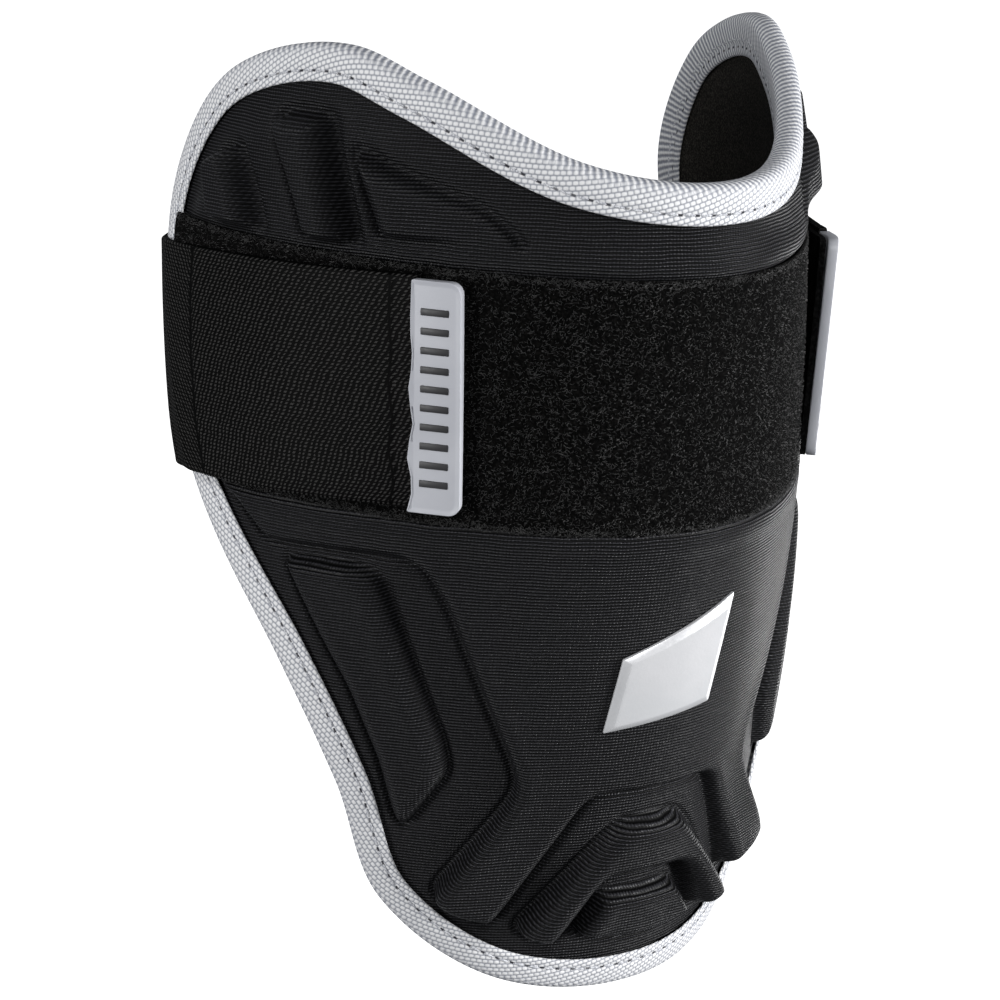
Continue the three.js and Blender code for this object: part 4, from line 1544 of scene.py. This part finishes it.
    def strap_section(self) -> np.ndarray:
        """Closed section of the strap with round corners, as rows of height and thickness.

        Returns:
            The rows.
        """
        round_off = self.strap_round
        high, top = self.strap_width - round_off, self.strap_thick - round_off
        ring = []
        lower = ((round_off, round_off, 180), (high, round_off, 270))
        upper = ((high, top, 0), (round_off, top, 90))
        for v, w, start in lower + upper:
            for angle in np.linspace(start, start + 90, 5):
                a = math.radians(angle)
                ring.append((v + round_off * math.cos(a), w + round_off * math.sin(a)))
            if start == 0:
                ring += [(v, self.strap_thick) for v in np.linspace(self.strap_width - 4, 4, 12)]
        ring.append(ring[0])
        return np.array(ring)

    def strap(self) -> None:
        """The elastic strap, from the right tab round the back to the left tab."""
        wings, behind = 90, 72
        section = self.strap_section()
        up = (self.low + section[:, 0])[None, :]
        share = np.linspace(0, 1, wings + 1)[:, None]
        right = self.wing(Side.RIGHT, share, up)
        left = self.wing(Side.LEFT, share, up)[::-1]
        share = np.linspace(0, 1, behind + 1)[1:-1, None]
        half = np.minimum(share, 1 - share) * 2
        rim = right[-1][None]
        back = np.stack([
            ((1 - half) ** 2 + 2 * half * (1 - half) * self.back_corner) * rim[..., 0] * np.sign(0.5 - share),
            (1 - half) ** 2 * rim[..., 1] + (1 - (1 - half) ** 2) * self.back_reach,
            rim[..., 2] - self.back_droop * np.sin(math.pi * share) ** 2,
        ], axis=-1)
        inner = np.concatenate([right, back, left])
        run = np.gradient(inner, axis=0)
        out = np.stack([run[..., 1], -run[..., 0], 0 * run[..., 0]], axis=-1)
        out /= np.linalg.norm(out, axis=-1, keepdims=True)
        pace = np.linalg.norm(np.diff(inner[:, 0], axis=0), axis=1)
        reach = np.concatenate([[0.0], np.cumsum(pace)])
        whole = reach[-1]
        from_end = np.minimum(reach, whole - reach)
        fold = self.fold_from - self.fold_lean * section[None, :, 0] / self.strap_width
        past = from_end[:, None] - fold
        groove = 0.3 * np.exp(-((from_end[:, None] - self.end_seam) / 0.5) ** 2)
        groove = groove + 0.35 * np.exp(-(past / 0.6) ** 2)
        groove = groove + 0.35 * smooth(past, 0, 1.5)
        wall = np.broadcast_to(section[:, 1], inner.shape[:2]).copy()
        wall -= groove * (section[:, 1] > self.strap_thick / 2)
        points = self.guard.plate.placed(inner + out * wall[..., None])
        cloth = np.stack(np.broadcast_arrays(from_end[:, None], up), axis=-1)
        obj = Bench.net("elastic_strap", points, cloth)
        Bench.closed(obj, caps=True)
        Bench.smoothed(obj, 50)
        dressed(obj, ElasticFinish().material(), "strap_elastic", "back_strap")

    def onto_tab(self, points: np.ndarray, side: Side) -> np.ndarray:
        """Lays a tab's flat shape on the band.

        Args:
            points: places in metres: towards the front, up from the strap's lower edge, and proud.
            side: which tab.

        Returns:
            The places in the object's frame.
        """
        x, y, z = (points * 1000.0).T
        up = self.low + y
        x = x + self.ragged(up) * (x < -0.45 * self.tab_width)
        along = self.tab_along(up) - x
        proud = z + self.lift(side, along, up)
        return self.guard.laid(side.value * along, up + self.tab_climb, proud)

    def tab(self, side: Side) -> None:
        """A stiff tab with a raised rim round its free edge, and its grip ribs.

        Args:
            side: which tab.
        """
        word = side.name.lower()
        middle = (0, self.strap_width / 2000, (self.on_hook + self.tab_thick / 2) / 1000)
        obj = Bench.block(f"tab_{word}", (self.tab_width, self.strap_width, self.tab_thick), middle)
        top = (self.on_hook + self.tab_thick) / 1000
        bpy.ops.object.mode_set(mode="EDIT")
        Bench.picked(obj, lambda a, b: min(a.x, b.x) > 0.005 and abs(a.z - b.z) > 0.001)
        bpy.ops.mesh.bevel(offset=self.tab_corner / 1000, segments=6, affect="EDGES")
        Bench.picked(obj, lambda a, b: min(a.z, b.z) > top - 1e-5)
        bpy.ops.mesh.select_mode(type="FACE")
        bpy.ops.mesh.inset(thickness=self.tab_rim / 1000)
        bpy.ops.transform.translate(value=(0, 0, -self.tab_rim_depth / 1000))
        bpy.ops.mesh.inset(thickness=self.tab_rim_slope / 1000)
        bpy.ops.mesh.select_mode(type="EDGE")
        for cut in np.linspace(-0.0036, 0.0036, 4):
            bpy.ops.mesh.select_all(action="SELECT")
            bpy.ops.mesh.bisect(plane_co=(cut, 0, 0), plane_no=(1, 0, 0))
        for cut in np.linspace(0.004, 0.0455, 12):
            bpy.ops.mesh.select_all(action="SELECT")
            bpy.ops.mesh.bisect(plane_co=(0, cut, 0), plane_no=(0, 1, 0))
        bpy.ops.object.mode_set(mode="OBJECT")
        Bench.softened(obj, 0.00035, 3, 30)
        Bench.reshaped(obj, lambda p: self.onto_tab(p, side))
        Bench.closed(obj)
        Bench.smoothed(obj, 35)
        rubber = SatinFinish(f"tab_rubber_{word}", (0.52, 0.53, 0.57), (0.46, 0.47, 0.51))
        dressed(obj, rubber.material(), "tab_rubber", f"pull_tab_{word}")
        self.grips(side)

    def grips(self, side: Side) -> None:
        """Dark grip ribs across the face of a tab, in one piece.

        Args:
            side: which tab.
        """
        word = side.name.lower()
        face = self.on_hook + self.tab_thick - self.tab_rim_depth
        ribs = []
        for step in range(self.grip_count):
            middle = (-0.0001, (self.grip_first + step * self.grip_pitch) / 1000, face / 1000)
            ribs.append(Bench.block(f"grip_{word}_{step}", self.grip_size, middle))
            Bench.softened(ribs[-1], 0.0002, 2)
        Bench.clear()
        for rib in ribs:
            rib.select_set(True)
        bpy.context.view_layer.objects.active = ribs[0]
        bpy.ops.object.join()
        obj = ribs[0]
        obj.name = obj.data.name = f"grip_ribs_{word}"
        Bench.reshaped(obj, lambda p: self.onto_tab(p, side))
        Bench.closed(obj)
        Bench.smoothed(obj, 35)
        dark = SatinFinish(f"grip_rubber_{word}", (0.03, 0.03, 0.033), (0.02, 0.02, 0.022), 0.5)
        dressed(obj, dark.material(), "tab_rubber")


@dataclass
class Badge:
    """A plain leaning plate with a bevelled rim."""

    guard: Guard
    width: float = 25.0
    height: float = 22.0
    thick: float = 1.5
    foot: float = 0.1
    bevel: float = 1.8
    corners: Rows = ((-13.4, 0.32), (7.3, 0.338), (-11.9, 0.402), (9.7, 0.458))

    def build(self) -> None:
        """Models the plate."""
        centre = (0, 0, (self.foot + self.thick / 2) / 1000)
        obj = Bench.block("silver_plate", (self.width, self.height, self.thick), centre)
        top = (self.foot + self.thick) / 1000
        bpy.ops.object.mode_set(mode="EDIT")
        Bench.picked(obj, lambda a, b: min(a.z, b.z) > top - 1e-6)
        bpy.ops.mesh.select_mode(type="FACE")
        bpy.ops.transform.translate(value=(0, 0, -0.5 * self.thick / 1000))
        bpy.ops.mesh.inset(thickness=self.bevel / 1000)
        bpy.ops.transform.translate(value=(0, 0, 0.5 * self.thick / 1000))
        bpy.ops.mesh.inset(thickness=0.0005)
        for cut in np.linspace(-0.4, 0.4, 9):
            bpy.ops.mesh.select_all(action="SELECT")
            bpy.ops.mesh.bisect(plane_co=(cut * self.width / 1000, 0, 0), plane_no=(1, 0, 0))
            bpy.ops.mesh.select_all(action="SELECT")
            bpy.ops.mesh.bisect(plane_co=(0, cut * self.height / 1000, 0), plane_no=(0, 1, 0))
        bpy.ops.object.mode_set(mode="OBJECT")
        Bench.softened(obj, 0.00018, 2, 20)
        Bench.reshaped(obj, self.leaning)
        Bench.closed(obj)
        Bench.smoothed(obj, 25)
        finish = SatinFinish("badge_silver", (0.86, 0.86, 0.88), (0.78, 0.79, 0.81), 0.35, 0.4)
        dressed(obj, finish.material(), "badge_silver", "badge")

    def leaning(self, points: np.ndarray) -> np.ndarray:
        """Lays the flat plate between its four corners on the guard.

        Args:
            points: places in metres on the flat plate.

        Returns:
            The places in the object's frame.
        """
        x, y, z = (points * 1000.0).T
        s, t = x / self.width + 0.5, y / self.height + 0.5
        rows = np.array(self.corners) * (math.radians(1), self.guard.plate.height)
        ends = np.stack([self.guard.plate.along(rows[:, 0], rows[:, 1]), rows[:, 1]], axis=-1)
        low = ends[0] + (ends[1] - ends[0]) * s[:, None]
        high = ends[2] + (ends[3] - ends[2]) * s[:, None]
        place = low + (high - low) * t[:, None]
        return self.guard.laid(place[:, 0], place[:, 1], z)


@dataclass
class Studio:
    """The camera, the pale floor and the soft lights."""

    azimuth: float = -31.44
    elevation: float = 15.47
    distance: float = 0.68893
    aim: tuple[float, float, float] = (0.0, 0.0, -0.03743)
    lens: float = 103.18
    roll: float = 0.32
    shift: tuple[float, float] = (0.04204, -0.03355)
    floor: float = -0.45
    world_light: float = 0.17

    def build(self) -> None:
        """Sets up the whole studio."""
        self.camera()
        self.backdrop()
        self.lamp("left_light", (-1.6, -0.05, 0.1), 0.5, 14.0)
        self.lamp("front_light", (-0.75, -1.3, 1.0), 0.35, 9.5)
        self.lamp("right_light", (1.05, -1.2, 0.1), 0.5, 34.0)
        self.lamp("edge_light", (1.2, 0.45, -0.6), 0.5, 4.0)

    def camera(self) -> None:
        """The camera at the photograph's angle."""
        a, e = math.radians(self.azimuth), math.radians(self.elevation)
        back = Vector((math.sin(a) * math.cos(e), -math.cos(a) * math.cos(e), math.sin(e)))
        data = bpy.data.cameras.new("camera")
        data.lens = self.lens
        data.sensor_width = 36.0
        data.shift_x, data.shift_y = self.shift
        data.clip_start, data.clip_end = 0.01, 100.0
        obj = bpy.data.objects.new("camera", data)
        bpy.context.scene.collection.objects.link(obj)
        obj.location = Vector(self.aim) + back * self.distance
        turned = (-back).to_track_quat("-Z", "Y").to_matrix().to_4x4()
        rolled = turned @ Matrix.Rotation(math.radians(self.roll), 4, "Z")
        obj.rotation_euler = rolled.to_euler()
        bpy.context.scene.camera = obj

    def backdrop(self) -> None:
        """White surroundings and a wide pale floor well below the guard."""
        scene = bpy.context.scene
        scene.view_settings.view_transform = "Standard"
        world = bpy.data.worlds.new("studio")
        scene.world = world
        world.use_nodes = True
        world.node_tree.nodes["Background"].inputs[0].default_value = (0.93, 0.96, 1, 1)
        world.node_tree.nodes["Background"].inputs[1].default_value = self.world_light
        Bench.clear()
        bpy.ops.mesh.primitive_plane_add(size=30, location=(0, 0, self.floor))
        floor = bpy.context.object
        floor.name = "floor"
        sheet = NodeSheet("floor_white")
        sheet.set(Base_Color=(0.9, 0.9, 0.9, 1), Roughness=0.9)
        sheet.set(Emission_Color=(1, 1, 1, 1), Emission_Strength=1.0)
        floor.data.materials.append(sheet.material)
        floor.visible_diffuse = False
        floor.visible_glossy = False

    @staticmethod
    def lamp(name: str, place: tuple[float, float, float], size: float, power: float) -> None:
        """A square soft light that looks at the guard.

        Args:
            name: its name.
            place: its place in metres.
            size: the length of its sides in metres.
            power: its power in watts.
        """
        data = bpy.data.lights.new(name, "AREA")
        data.size = size
        data.energy = power
        obj = bpy.data.objects.new(name, data)
        bpy.context.scene.collection.objects.link(obj)
        obj.location = place
        obj.rotation_euler = (Vector((0, 0, -0.03)) - Vector(place)).to_track_quat("-Z", "Y").to_euler()


def main() -> None:
    """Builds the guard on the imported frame."""
    logging.basicConfig(level=logging.INFO, format="%(name)s: %(message)s")
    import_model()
    Studio().build()
    guard = Guard()
    Cover(guard).build()
    Binding(guard).build()
    Band(guard).build()
    Badge(guard).build()
    Bench.clear()


if __name__ == "__main__":
    main()
